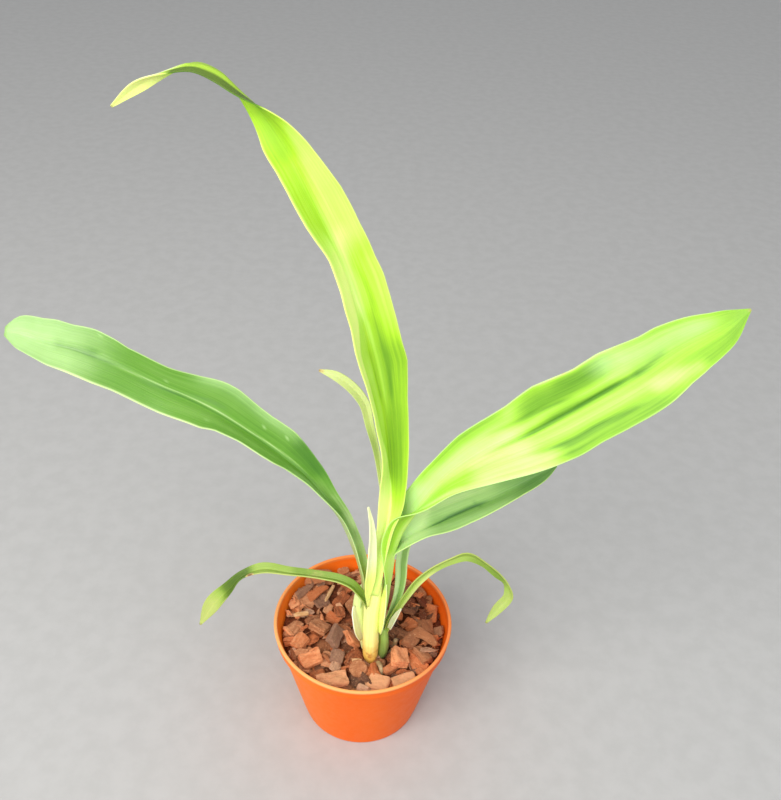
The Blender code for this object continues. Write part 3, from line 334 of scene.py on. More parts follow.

# Bands that run along a blade: their line as places (along, across), with -1 the left
# margin and 1 the right one; half width; how much lighter or darker they are, partly the
# leaf's own tone and partly painted shade and light: darker in grooves, folds and where
# another leaf shades it, lighter where light catches a half and against cast shadows; height in
# millimetres (a groove is below 0); how much whitish colour they have, partly bloom and partly
# painted sheen; and the side that they cover, where that isn't the line itself. What a row
# leaves off at its end is 0.
BANDS = {
    "leaf_tall": [
        (((-0.2, 0), (0, 0), (0.16, 0), (0.24, 0)), 3, 1),
        (((0.05, 0.4), (0.16, 0.2), (0.21, 0.05), (0.26, -0.25), (0.3, -0.62), (0.37, -0.7),
          (0.44, -0.7), (0.48, -0.35), (0.54, -0.2), (0.6, -0.3), (0.65, -0.7)), 0.05, 1, 0.12, 0, -1),
        (((0.5, -1), (0.8, -1)), 0.1, 0.9),
        (((0.1, 0.4), (0.3, 0.4), (0.5, 0.4)), 0.7, -0.45),
        (((0.24, -0.35), (0.34, -0.4), (0.44, -0.35)), 0.22, 0.35),
        (((0.32, 0.15), (0.42, 0.15), (0.47, 0.1), (0.5, 0), (0.56, -0.05)), 0.075, 0.4, 0.3, 0.12),
        (((0.34, 0.36), (0.41, 0.45), (0.45, 0.4), (0.5, 0.35)), 0.07, -0.3, -0.25),
        (((0.34, -0.05), (0.4, -0.06), (0.45, -0.1)), 0.06, -0.3, -0.1),
        (((0.42, 1), (0.47, 0.95), (0.5, 0.9), (0.58, 0.9)), 0.4, 0.4),
        (((0.47, -0.1), (0.55, 0), (0.62, 0.4)), 0.3, 0.6, 0, 0.1),
        (((0.47, 0.42), (0.51, 0.45), (0.555, 0.3), (0.61, 0.38)), 0.09, -0.3, -0.2),
        (((0.56, -0.2), (0.605, -0.05), (0.66, 0.1), (0.72, 0.35),
          (0.77, 0.7)), 0.24, 0.62, 0.12, 0.06, 1),
        (((0.62, -0.4), (0.7, -0.2), (0.77, 0)), 0.3, 0.1),
        (((0.7, -0.2), (0.75, 0), (0.8, 0.2)), 0.9, -0.3),
        (((0.77, 0.45), (0.86, 0.5), (0.93, 0.5)), 0.2, -1.5, 0, 0, 1),
        (((0.765, 0.5), (0.84, 0.45), (0.925, 0.4)), 0.2, -0.1, 0, 0, -1),
        (((0.87, 0), (0.93, 0), (1.3, 0)), 3, 2.2),
        # Painted light on the left half, which is turned away from the key light.
        (((0.36, -0.7), (0.48, -0.6), (0.56, -0.5), (0.62, -0.4)), 0.4, 0.4),
        (((0.26, -0.2), (0.38, -0.2), (0.5, -0.2), (0.64, -0.2)), 0.25, 0.35),
    ],
    "leaf_right": [
        # A groove, painted darker as shade.
        (((0.48, 0.1), (0.575, 0.05), (0.64, 0), (0.71, -0.03), (0.77, -0.03),
          (0.84, 0)), 0.055, -0.95, -0.75),
        (((0.6, -0.1), (0.66, -0.14), (0.72, -0.1), (0.78, -0.08)), 0.1, -0.45),
        (((0.78, -0.02), (0.815, -0.08), (0.86, -0.2)), 0.11, -0.5),
        (((0.56, -0.64), (0.66, -0.57), (0.7, -0.6), (0.785, -0.56)), 0.3, -0.6),
        (((0.65, -0.85), (0.72, -0.8), (0.79, -0.75)), 0.22, -0.3),
        (((0.4, -0.75), (0.5, -0.8), (0.58, -0.8)), 0.25, -0.35),
        (((0.5, -0.5), (0.55, -0.45), (0.61, -0.4), (0.7, -0.28)), 0.06, -0.45, -0.4),
        (((0.55, 0.5), (0.64, 0.6), (0.7, 0.6), (0.79, 0.66)), 0.045, -0.8, -0.5),
        (((0.58, 0.8), (0.69, 0.8), (0.78, 0.84), (0.86, 0.9)), 0.22, -0.45),
        (((0.52, 0.25), (0.65, 0.3), (0.74, 0.3), (0.8, 0.36), (0.88, 0.6)), 0.18, 0.32, 0.3, 0.1),
        (((0.33, -0.3), (0.38, -0.25), (0.44, -0.2), (0.54, -0.1), (0.6, 0.05)), 0.42, 0.9, 0, 0.15),
        (((0.36, -0.5), (0.45, -0.5), (0.49, -0.5), (0.53, -0.62), (0.62, -0.9)), 0.24, 0.3, 0, 0.1),
        (((0.45, 0.28), (0.53, 0.35), (0.6, 0.45)), 0.2, 0.4, 0, 0.1),
        (((0.44, 0.75), (0.545, 0.7), (0.64, 0.74)), 0.2, 0.8, 0, 0.15),
        (((0.51, -0.2), (0.58, -0.2), (0.66, -0.25), (0.74, -0.27), (0.82, -0.3)), 0.09, 0.5, 0.3, 0.05),
        (((0.3, 0.5), (0.395, 0.8), (0.48, 0.97), (0.55, 0.97), (0.64, 1)), 0.13, 0.8),
        (((0.71, -0.85), (0.79, -0.6), (0.85, -0.45), (0.97, -0.4)), 0.38, 0.15, 0, 0.5),
        (((0.84, 0.6), (0.93, 0.7), (1.03, 0.6)), 0.35, -0.35),
        (((0.93, -0.3), (1, -0.3), (1.2, 0)), 1, -0.3, 0, 0.1),
        # Painted light at the base, against the tall leaf's cast shadow.
        (((0.16, -0.6), (0.3, -0.7), (0.4, -0.7)), 0.6, 1, 0, 0.1),
        (((0.79, 0.45), (0.846, 0.6), (0.91, 0.85)), 0.2, 0.6, 0, 0.1),
        (((-0.1, -0.2), (0.15, -0.2), (0.4, -0.2)), 0.9, 0.9),
        (((0.2, 0.5), (0.27, 0.5), (0.34, 0.5)), 0.35, -0.7),
        (((0.62, -1), (0.7, -1), (0.8, -1)), 0.06, 0.8),
    ],
    "leaf_right_low": [
        # A groove, painted darker as shade.
        (((0.42, 0.25), (0.46, 0.2), (0.56, 0), (0.65, -0.05), (0.74, 0)), 0.06, -1.1, -0.5),
        (((0.4, 0.5), (0.47, 0.55), (0.69, 0.7), (0.84, 0.8)), 0.3, 0.25, 0.1, 0.3),
        # Painted shade from leaf_right, which lies over the tip.
        (((0.8, 0.3), (0.94, 0.3), (1.2, 0)), 0.8, -0.4),
        (((0.34, -0.5), (0.5, -0.55), (0.66, -0.5), (0.82, -0.5)), 0.4, 0.75, 0, 0.1),
        (((0.38, -0.05), (0.43, -0.1), (0.51, -0.6), (0.6, -0.55), (0.72, -0.6)), 0.09, 0.3, 0.1, 0.1),
        (((0.02, -0.2), (0.34, -0.2), (0.52, -0.2)), 1.2, 1.8, 0, 0.7),
        (((0.4, 1), (0.95, 1)), 0.07, 0.5),
        (((0.665, -0.3), (0.68, 0), (0.695, 0.35)), 0.07, -0.4, -0.25),
    ],
    "leaf_left": [
        (((0.34, 0.2), (0.44, 0.12), (0.52, 0.05), (0.59, 0.05), (0.67, 0.02), (0.75, -0.08),
          (0.84, -0.15)), 0.035, 1, -0.25, 0.2),
        (((0.42, 0), (0.52, -0.06), (0.59, -0.05), (0.67, -0.08), (0.78, -0.18)), 0.05, -0.35),
        (((0.77, -0.12), (0.84, -0.1), (0.88, -0.04), (0.96, 0.02)), 0.06, -0.6, -0.25),
        (((0.76, 0), (0.86, 0), (1.4, 0)), 3, 0.15, 0, 0.5),
        (((0.8, -0.6), (0.86, -0.4), (0.94, 0), (1.2, 0)), 0.8, 0.5, 0, 0.1),
        (((0.82, 0.1), (0.87, 0), (0.92, 0.05)), 0.25, -0.6, 0, -0.2),
        (((-0.2, 0), (0.08, 0), (0.3, 0)), 3, 1.3),
        (((0.22, 0.8), (0.3, 0.6), (0.38, 0.3)), 0.5, 0.8),
        (((0.18, -0.6), (0.26, -0.5), (0.35, -0.55), (0.44, -0.8)), 0.35, 0.4, 0.12, 0.3),
        (((0.31, 0.8), (0.385, 0.75), (0.46, 0.85)), 0.5, -0.55),
        (((0.4, -0.4), (0.525, -0.55), (0.6, -0.45), (0.72, -0.6)), 0.22, 0.35, 0.15),
        (((0.56, 0.3), (0.62, 0.2), (0.68, -0.05), (0.76, -0.2)), 0.1, -0.35, -0.15, 0.1),
        (((0.42, 0.9), (0.52, 0.92), (0.6, 0.95), (0.68, 0.9)), 0.22, 0, 0, 0.4),
        (((0.36, -1), (0.97, -1)), 0.08, 1.4),
        (((0.52, 0.45), (0.66, 0.5), (0.8, 0.5)), 0.12, 0.25, 0.15),
    ],
    "leaf_low_left": [
        (((0.1, 0), (0.95, 0)), 0.1, 0.3, -0.18),
        (((0.4, 0), (0.48, 0), (0.62, 0)), 3, 0.5),
        (((0.58, 0), (0.68, 0), (0.8, 0)), 3, -0.9),
        (((0.72, 0), (0.88, 0), (1.4, 0)), 3, 1.2),
        (((0.1, -0.9), (0.6, -0.9)), 0.25, 0.4),
    ],
    "leaf_low_right": [
        (((0.06, 0), (0.95, 0)), 0.12, 0.1),
        (((-0.3, 0), (0.2, 0), (0.7, 0)), 3, 0.7),
        (((0.72, 0), (0.9, 0), (1.3, 0)), 3, 1, 0, 0.1),
        (((0.05, 0.9), (0.45, 0.9)), 0.4, 0.8, 0, 0.1),
    ],
    "leaf_inner": [
        (((0.1, 0), (0.95, 0)), 0.12, 0.3, -0.15),
        (((-0.3, 0), (0.2, 0), (0.5, 0)), 3, 0.8),
        (((0.5, 0), (0.72, 0), (1.3, 0)), 3, 1),
    ],
    "side_leaf": [
        (((-0.2, 0), (0.5, 0), (1.2, 0)), 3, 0.8, 0, 0.1),
        (((0.1, 0), (0.95, 0)), 0.12, -0.1, -0.15),
        (((0.1, -0.7), (0.9, -0.7)), 0.5, 0.9),
        (((0.1, 0.95), (0.9, 0.95)), 0.2, 0.5),
    ],
    "upper_bract": [
        (((0, 0), (0.8, 0)), 0.2, 0.4, 0.1),
    ],
    "lower_bract": [
        (((0, 0), (0.8, 0)), 0.5, 0.4),
    ],
    "torn_sheath": [
        (((0, 0.2), (1, -0.2)), 0.3, 0.5, 0.2),
    ],
    "dry_scale": [
        (((0, 0), (1, 0)), 0.3, 0.5, 0.2),
    ],
}
BAND_FADE = 0.22

# How far the margins wander: share of the half width at places along a blade, left
# margin first
EVEN_MARGIN = ((0, 1), (1, 1))
BRACT_MARGIN = ((0, 0.15), (0.16, 0.7), (0.3, 1), (1, 1))
MARGINS = {
    "leaf_tall": (
        ((0, 1), (0.38, 1.08), (0.45, 1.15), (0.48, 1), (0.51, 1), (0.535, 0.88), (0.58, 0.87),
         (0.61, 1.05), (0.63, 1.08), (0.68, 0.94), (0.706, 0.94), (0.74, 1.04), (0.79, 0.9), (0.93, 0.9),
         (1, 1)),
        ((0, 1), (0.3, 1.03), (0.35, 1.08), (0.403, 1.2), (0.43, 1.1), (0.48, 1.04), (0.53, 1.02),
         (0.555, 0.945), (0.605, 0.93), (0.655, 1.02), (0.706, 0.96), (0.75, 1.05), (0.8, 0.9),
         (0.93, 0.9), (1, 1)),
    ),
    "leaf_right": (
        ((0, 1), (0.3, 1), (0.36, 0.9), (0.42, 0.93), (0.48, 1.07), (0.535, 1.01), (0.57, 1.01),
         (0.63, 1.13), (0.706, 1.04), (0.756, 1.11), (0.832, 1), (0.857, 1.03), (0.908, 0.96),
         (0.94, 0.89), (0.965, 0.94), (1, 0.9)),
        ((0, 1), (0.55, 1.03), (0.65, 1.04), (0.69, 0.975), (0.76, 0.97), (0.82, 1), (0.86, 0.99),
         (0.89, 1.045), (0.915, 1.04), (0.935, 1.015), (0.97, 1), (1, 0.9)),
    ),
    "leaf_right_low": (
        ((0, 1), (1, 1)),
        ((0, 1), (0.42, 1), (0.52, 0.9), (0.62, 0.84), (0.85, 0.84), (1, 1)),
    ),
    "upper_bract": (BRACT_MARGIN, BRACT_MARGIN),
    "leaf_left": (
        ((0, 1), (0.3, 1), (0.37, 0.72), (0.43, 0.68), (0.454, 0.8), (0.48, 0.82), (0.53, 0.74),
         (0.58, 0.8), (0.605, 0.97), (0.68, 1.02), (0.78, 0.99), (0.82, 1.04), (0.91, 1.07),
         (0.958, 0.92), (1, 1)),
        ((0, 1), (0.39, 1), (0.454, 1.1), (0.504, 1), (0.53, 1.02), (0.58, 1.13), (0.605, 1.11),
         (0.645, 0.96), (0.706, 0.88), (0.782, 0.9), (0.807, 1), (0.845, 1.05), (0.882, 0.96),
         (0.91, 1.04), (0.96, 1.06), (1, 1.2)),
    ),
}

# Dry and bruised spots: place along and across, reach along and across, strength
SPOTS = {
    "leaf_tall": [(1, 0, 0.008, 2, 0.4)],
    "leaf_right": [(1, 0, 0.008, 2, 0.5), (0.69, -0.98, 0.008, 0.06, 0.5)],
    "leaf_right_low": [(0.14, 0.3, 0.02, 0.5, 0.9)],
    "leaf_left": [(0.07, 0, 0.12, 2, 0.42), (0.29, -0.7, 0.06, 0.5, 0.3)],
    "leaf_low_left": [(0.33, 0, 0.08, 2, 0.34), (0.6, -0.95, 0.018, 0.5, 1), (1, 0, 0.02, 2, 0.4)],
    "leaf_low_right": [(1, 0, 0.02, 2, 0.4)],
    "leaf_inner": [(1, 0, 0.035, 2, 0.7)],
    "torn_sheath": [(1, 0, 0.12, 2, 0.4), (0.3, 0.8, 0.08, 0.3, 0.4)],
    "dry_scale": [(1, 0, 0.2, 2, 0.3)],
}

# Small painted glints: place along and across
GLINTS = {
    "leaf_left": [(0.833, 0.85), (0.816, 0.15), (0.599, -0.55), (0.505, 0.5), (0.458, 0.65), (0.7, 0.3)],
    "leaf_right_low": [(0.5, 0.1), (0.53, -0.3), (0.75, -0.5)],
}
GLINT_REACH = (0.003, 0.035)
GLINT_SHEEN = 0.55

# Stems, bulbs and roots, as in the part: x, y, z and radius; the roots thin out evenly
STEMS = {
    "pseudostem": [
        (4.6, -17.9, 52.6, 2.8), (4.5, -18.2, 57, 3.5), (4.4, -18.5, 63.9, 3.75), (4.4, -18.5, 74.7, 3.7),
        (4.5, -18.5, 88.4, 3.7), (5.1, -18.4, 100.2, 3.7), (5.8, -17.8, 109, 3.2), (6.2, -16.8, 116, 2.2),
        (6.6, -15.8, 122, 0.9),
    ],
    "back_bulb": [
        (1.6, -13.4, 56, 1.6), (1, -12.8, 62, 2.2), (0, -12, 69, 2.9), (-1, -11.6, 77, 3.3),
        (-1.5, -11.6, 85.5, 3.3), (-1.2, -12.2, 93, 2.6), (-0.5, -13, 98, 1.8), (0.1, -13.6, 102, 0.9),
    ],
    "side_bulb": [
        (10.2, -15.8, 52.6, 1.7), (10.5, -15.8, 56, 2.5), (10.7, -15.6, 60.9, 2.8),
        (10.8, -15.4, 66.8, 2.4), (10.9, -15, 72.7, 1.3),
    ],
}
RHIZOME = [
    (-3.2, -10.3, 49.7, 1.5), (0.6, -13, 49.7, 2.2), (4.7, -17.6, 49.5, 2.5), (10.2, -16, 49.7, 2.2),
    (13.1, -14.6, 49.9, 1.2),
]
ROOTS = [
    [(0.2, -13.6, 49.1), (-7.7, -19.5, 41.3), (-15.6, -23.4, 29.5), (-13.6, -26.4, 18.7)],
    [(5.1, -17.6, 49.1), (5.1, -25.4, 42.3), (9, -29.3, 31.5), (4.1, -30.3, 19.7)],
    [(10, -15.6, 49.1), (18.8, -13.6, 43.2), (24.7, -7.7, 33.4), (21.8, -1.8, 20.7)],
    [(1.1, -13.6, 49.1), (-2.8, -3.8, 41.3), (-8.7, 6, 32.4), (-5.7, 12.9, 19.7)],
    [(9, -15.6, 49.1), (12.9, -3.8, 44.2), (13.9, 7, 33.4), (9, 13.9, 20.7)],
    [(5.7, -18.5, 48.6), (7.9, -21.7, 51.6), (8.8, -22.7, 56), (9.8, -24.8, 56.6), (10.8, -28.4, 49.1)],
    [(10, -15.2, 49.1), (15.3, -12.6, 53.1), (16.5, -12.1, 57.4), (16.9, -12.3, 61.4)],
]
ROOT_RADIUS = 1.3
ROOT_TAPER = 0.3
TUBE_SIDE = (0.9, 0.1, 0.3)
TUBE_STEP = 0.8
YOUNG_BULB_STEP = 0.6
CANE_SIDES = 56
BULB_SIDES = 48
FEWEST_RINGS = 8
RHIZOME_SIDES = 24
ROOT_SIDES = 16

# The surface of the stems: the free edge of the outer sheath, the node and the ribs
SEAM_ANGLE = 4.2
SEAM_WIND = 1.1
SEAM_RISE = 0.28
SEAM_EDGE = 0.25
SEAM_FADE = 3
NODE_RISE = 0.16
NODE_PLACE = 0.21
NODE_REACH = 0.012
CANE_SUNK = 0.1
CANE_RIBS = 26
CANE_RIB_RISE = 0.035
BULB_RIBS = 9
BULB_RIB_TWIST = 3
BULB_RIB_RISE = 0.07

# Colours on a screen, from 0 to 255, dark ones first
# Whitish colour of the bands: partly bloom, partly painted sheen
BLOOM_AND_SHEEN = (188, 226, 152)
DRY_LEAF = ((205, 190, 120), (130, 80, 45))
DRY_SHEATH = (176, 130, 86)
CANE_TONES = ((252, 192, 84), (255, 255, 146), (186, 112, 46))
OLD_BULB_TONES = ((232, 236, 150), (222, 242, 150), (160, 116, 70))
YOUNG_BULB_TONES = ((112, 140, 66), (150, 186, 88), (80, 84, 46))
BARK_TONES = (
    ((112, 56, 32), (206, 116, 68), (250, 172, 120)), ((88, 54, 38), (172, 108, 70), (236, 170, 124)),
    ((88, 64, 52), (158, 116, 92), (224, 178, 146)), ((150, 105, 62), (214, 160, 104), (250, 214, 168)),
)
BARK_DUST = (222, 176, 132)
BARK_GROOVE = (62, 36, 28)
# The pot's colour from left to right, lighter on the left as painted light
POT_PAINTED_LIGHT_TONES = ((252, 126, 34), (245, 103, 16), (228, 90, 14))
POT_CLOUD = (255, 122, 30)
POT_SCUFF = (250, 170, 115)
# Painted highlight on the pot's lip
POT_LIP_HIGHLIGHT = (255, 190, 120)

# Linear colours
ROOT_TONES = ((0.19, 0.1, 0.045), (0.32, 0.2, 0.09), (0.5, 0.38, 0.2))
FLOOR_TONES = ((0.47, 0.466, 0.455), (0.5, 0.495, 0.485))

# Looks of the leaves: five tones of the upper side, three of the underside, roughness and gloss
LEAF_LOOKS = {
    "leaf_lime": (((79, 130, 26), (118, 168, 36), (164, 214, 42), (196, 240, 98), (236, 255, 140)),
                  ((84, 108, 38), (165, 205, 62), (255, 255, 205)), 0.5, 0.25),
    "leaf_bright_lime": (((76, 127, 30), (114, 166, 46), (154, 208, 56), (188, 234, 110), (210, 244, 160)),
                         ((98, 138, 36), (154, 210, 52), (208, 236, 128)), 0.5, 0.22),
    "leaf_green": (((40, 89, 20), (67, 118, 31), (95, 146, 47), (121, 165, 74), (206, 232, 160)),
                   ((94, 126, 44), (129, 162, 67), (169, 187, 105)), 0.36),
    "leaf_grey_green": (((62, 104, 51), (92, 140, 66), (128, 174, 87), (164, 204, 114), (208, 232, 149)),
                        ((110, 150, 80), (150, 190, 105), (205, 228, 150)), 0.38),
    "leaf_thin": (((71, 98, 25), (95, 123, 35), (119, 149, 50), (150, 177, 74), (190, 197, 111)),
                  ((93, 121, 36), (133, 159, 63), (184, 191, 103))),
    "leaf_young": (((98, 115, 59), (132, 150, 77), (162, 184, 101), (187, 205, 120), (210, 220, 148)),
                   ((123, 142, 77), (166, 184, 103), (203, 214, 142))),
    "leaf_sheath": (((150, 190, 70), (184, 218, 84), (218, 242, 108), (244, 252, 145), (252, 255, 190)),
                    ((150, 190, 70), (215, 240, 120), (245, 252, 170))),
}
# Looks of the dry sheaths: two tones, and that of the foot where it has its own
PAPERY_LOOKS = {
    "bract_look": ((244, 250, 175), (255, 255, 215), (244, 255, 130)),
    "straw_look": ((232, 232, 172), (252, 252, 222)),
}
# The part's node, its look and its slot
LEAF_DRESS = (
    ("leaf_tall", "leaf_lime", "leaf_bright"), ("leaf_right", "leaf_bright_lime", "leaf_bright"),
    ("leaf_inner", "leaf_young", "leaf_bright"), ("leaf_right_low", "leaf_grey_green", "leaf_blue"),
    ("side_leaf", "leaf_green", "leaf_blue"), ("leaf_left", "leaf_green", "leaf_mid"),
    ("leaf_low_left", "leaf_thin", "leaf_mid"), ("leaf_low_right", "leaf_thin", "leaf_mid"),
    ("upper_bract", "bract_look", "papery"), ("lower_bract", "leaf_sheath", "stem"),
    ("torn_sheath", "straw_look", "papery"), ("dry_scale", "straw_look", "papery"),
)

# The lights, the floor and the photo's view, in metres and degrees
LIGHT_SIZE = 0.9
LIGHT_TARGET = (0, 0, 0.12)
LIGHTS = {
    "key": ((-0.54, -0.78, 0.95), 16.4, (1, 0.98, 0.94)),
    "fill": ((0.7, -0.7, 0.7), 3.6, (0.96, 0.98, 1)),
}
SKY_COLOUR = (0.95, 0.97, 1, 1)
SKY_STRENGTH = 0.6
FLOOR_SIZE = 8
CAMERA_PLACE = (0.0089, -0.3206, 0.4385)
CAMERA_PITCH = 36.6
CAMERA_ROLL = 2.6
CAMERA_LENS = 42.75
CAMERA_SENSOR = 36


# Meshes

def piece(name, points, faces, attributes=None):
    """A smooth object from points in millimetres, with named numbers for its material."""
    mesh = bpy.data.meshes.new(name)
    mesh.from_pydata((np.asarray(points) * MM).tolist(), [], faces)
    for key, values in (attributes or {}).items():
        values = np.asarray(values, np.float32)
        kind = "FLOAT" if values.ndim == 1 else "FLOAT_VECTOR"
        layer = mesh.attributes.new(key, kind, "POINT")
        layer.data.foreach_set("value" if kind == "FLOAT" else "vector", values.ravel())
    bm = bmesh.new()
    bm.from_mesh(mesh)
    bmesh.ops.recalc_face_normals(bm, faces=bm.faces)
    bm.to_mesh(mesh)
    bm.free()
    obj = bpy.data.objects.new(name, mesh)
    bpy.context.scene.collection.objects.link(obj)
    mesh.shade_smooth()
    return obj


def dress(obj, material, slot, *nodes):
    """Gives a piece its material and body, and hides the part's nodes that it takes the place of; its slot
    is not used.
    """
    obj.data.materials.append(material)
    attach(obj, BODY)
    if nodes:
        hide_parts(*nodes)


def skin(rings, sides):
    """Faces of a closed skin over rings of points, with a flat face at each end."""
    faces = []
    for i in range(rings - 1):
        for k in range(sides):
            a, b = i * sides + k, i * sides + (k + 1) % sides
            faces.append((a, b, b + sides, a + sides))
    faces.append(tuple(range(sides)))
    faces.append(tuple((rings - 1) * sides + k for k in range(sides)))
    return faces


def ring(x, y, z, radius, sides):
    turns = [2 * math.pi * k / sides for k in range(sides)]
    return [(x + radius * math.cos(turn), y + radius * math.sin(turn), z) for turn in turns]


def unit(rows):
    return rows / np.maximum(np.linalg.norm(rows, axis=-1, keepdims=True), 1e-9)


def ease(x):
    x = np.clip(x, 0.0, 1.0)
    return x * x * (3 - 2 * x)


def spline(table, count):
    """Rows of the table read at even steps along its first three columns, smoothly."""
    table = np.array(table, float)
    steps = np.linalg.norm(np.diff(table[:, :3], axis=0), axis=1)
    knots = np.concatenate([[0.0], np.cumsum(steps)]) / steps.sum()
    widths = np.diff(knots)
    slopes = np.diff(table, axis=0) / widths[:, None]
    before = widths[:-1, None]
    after = widths[1:, None]
    inner = (slopes[:-1] * after + slopes[1:] * before) / (before + after)
    tangents = np.concatenate([slopes[:1], inner, slopes[-1:]])
    share = np.linspace(0.0, 1.0, count)
    index = np.clip(np.searchsorted(knots, share, side="right") - 1, 0, len(widths) - 1)
    s = ((share - knots[index]) / widths[index])[:, None]
    span = widths[index][:, None]
    start = (2 * s**3 - 3 * s**2 + 1) * table[index]
    leave = (s**3 - 2 * s**2 + s) * span * tangents[index]
    end = (3 * s**2 - 2 * s**3) * table[index + 1]
    arrive = (s**3 - s**2) * span * tangents[index + 1]
    return share, start + leave + end + arrive, steps.sum()


# Blades

def half_section(columns, width, fold, curl, wave):
    """Points of one half of a blade's section, (out, up), from the midrib to the margin."""
    b = np.linspace(0.0, 1.0, SECTION_STEPS + 1)
    middle = (b[1:] + b[:-1]) / 2
    angle = fold * np.minimum(middle / KEEL_BLEND, 1.0) + curl * width * middle
    out = np.concatenate([[0.0], np.cumsum(np.cos(angle) * width / SECTION_STEPS)])
    up = np.concatenate([[0.0], np.cumsum(np.sin(angle) * width / SECTION_STEPS)]) + wave * b**2
    return np.stack([np.interp(columns, b, out), np.interp(columns, b, up)], axis=1)


def section_normals(line):
    along = unit(np.diff(line, axis=0))
    normal = np.stack([-along[:, 1], along[:, 0]], axis=1)
    normal = np.concatenate([normal[:1], normal, normal[-1:]])
    mean = unit(normal[:-1] + normal[1:])
    return mean / np.maximum((mean * normal[1:]).sum(axis=1, keepdims=True), FOLD_LIMIT)


def relief(name, t, across):
    """Height, tone (partly painted shade and light), and bloom with painted sheen and glints of a blade's
    bands at t along it, and how dry it is there.
    """
    height, tone, bloom_and_sheen, dry = np.zeros((4, len(across)))
    for line, spread, light, *rest in BANDS[name]:
        rise, bloom_and_sheen_share, side = (*rest, 0, 0, 0)[:3]
        places, sides = zip(*line)
        u = (t - places[0]) / (places[-1] - places[0])
        window = float(ease(u / BAND_FADE) * ease((1 - u) / BAND_FADE))
        gap = (across - np.interp(t, places, sides)) / spread
        shape = window * (ease(0.5 + side * gap / 2) if side else np.exp(-gap**2))
        height += rise * shape
        tone += light * shape
        bloom_and_sheen += bloom_and_sheen_share * shape
    for place, side, reach, spread, strength in SPOTS.get(name, ()):
        dry += strength * np.exp(-((t - place) / reach) ** 2 - ((across - side) / spread) ** 2)
    for place, side in GLINTS.get(name, ()):
        away = ((t - place) / GLINT_REACH[0]) ** 2 + ((across - side) / GLINT_REACH[1]) ** 2
        bloom_and_sheen += GLINT_SHEEN * np.exp(-away)
    return height, tone, bloom_and_sheen, dry


def blade_sections(name, row, t, length, columns):
    """Both halves of a blade's section at one row, as one line from margin to margin."""
    height, number, phase = WAVES.get(name, NO_WAVE)
    fold, curl = np.radians(row[6:8])
    ruffle = height * min(1.0, WAVE_RISE * t * (1.0 - t))
    turn = 2 * math.pi * number * t + phase
    halves = []
    margins = MARGINS.get(name, (EVEN_MARGIN, EVEN_MARGIN))
    for width, shift, margin in zip(row[3:5], (0, WAVE_SHIFT), margins):
        width = width * np.interp(t, *zip(*margin))
        wander = noise.noise(Vector((t * length * WANDER_PER_MM, shift, sum(map(ord, name)))))
        wave = ruffle * math.sin(turn + shift) + WANDER_SHARE * ruffle * wander
        halves.append(half_section(columns, max(width, TIP_HALF_WIDTH), fold, curl, wave))
    return np.concatenate([halves[0][:0:-1] * (-1.0, 1.0), halves[1]])


def make_blade(name):
    _, _, length = spline(LEAVES[name], 2)
    share, rows, _ = spline(LEAVES[name], max(FEWEST_ROWS, round(length / ROW_STEP)))
    route = rows[:, :3]
    along = unit(np.gradient(route, axis=0))
    front = np.array(LEAF_FRONT)
    face = unit(front - (along @ front)[:, None] * along)
    right = np.cross(along, face)
    roll = np.radians(rows[:, 5])[:, None]
    up_axis = face * np.cos(roll) + right * np.sin(roll)
    out_axis = right * np.cos(roll) - face * np.sin(roll)
    columns = 0.5 - 0.5 * np.cos(np.pi * np.linspace(0.0, 1.0, HALF_COLUMNS + 1))
    across = np.concatenate([-columns[:0:-1], columns])
    reach = np.abs(across)
    edge = np.sqrt(np.clip(1 - ((reach - MARGIN_ROUND) / (1 - MARGIN_ROUND)).clip(0) ** 2, 0, 1))
    keel = KEEL_EXTRA * np.maximum(0.0, 1.0 - reach / KEEL_REACH) ** 1.5
    keel_fade = 1.0 - ease((share - KEEL_END) / KEEL_FADE)
    under = np.concatenate([np.zeros(len(across)), np.ones(len(across) - 2)])
    points = []
    data = {"along": [], "across": [], "under": [], "tone": [], "bloom_and_sheen": [], "dry": []}
    for i, t in enumerate(share):
        line = blade_sections(name, rows[i], t, length, columns)
        normal = section_normals(line)
        size = min(1.0, rows[i, 3] / KEEL_HALF_WIDTH)
        rise, *shades = relief(name, t, across)
        rise = (rise * size * edge)[:, None]
        half = (BLADE_THICKNESS / 2 * edge)[:, None]
        top = line + normal * (half + rise)
        bottom = line - normal * (half + (keel * size * keel_fade[i])[:, None] - rise)
        section = np.concatenate([top, bottom[-2:0:-1]])
        points.append(route[i] + section[:, :1] * out_axis[i] + section[:, 1:] * up_axis[i])
        data["along"].append(np.full(len(under), t * length / ALONG_UNIT))
        data["under"].append(under)
        for key, values in zip(("across", "tone", "bloom_and_sheen", "dry"), (across, *shades)):
            data[key].append(np.concatenate([values, values[-2:0:-1]]))
    faces = skin(len(points), len(under))
    points = np.concatenate(points)
    points[:, 2] = np.minimum(points[:, 2], LEAF_TOP)
    return piece(name + "_blade", points, faces, {key: np.concatenate(data[key]) for key in data})


# Stems, bulbs and roots

def tube(name, stations, sides, bump, step=TUBE_STEP):
    """A round stem through the stations, its surface raised by bump(t, angle)."""
    _, _, length = spline(stations, 2)
    share, table, _ = spline(stations, max(FEWEST_RINGS, round(length / step)))
    route = table[:, :3]
    along = unit(np.gradient(route, axis=0))
    carried = np.array(TUBE_SIDE)
    points = []
    data = {"along": [], "across": []}
    for i, t in enumerate(share):
        carried = unit(carried - (carried @ along[i]) * along[i])
        other = np.cross(along[i], carried)
        for k in range(sides):
            angle = 2 * math.pi * k / sides
            spoke = carried * math.cos(angle) + other * math.sin(angle)
            points.append(route[i] + spoke * (table[i, 3] + bump(t, angle)))
            data["along"].append(t * length / ALONG_UNIT)
            data["across"].append(angle / math.pi - 1)
    return piece(name, points, skin(len(share), sides), data)


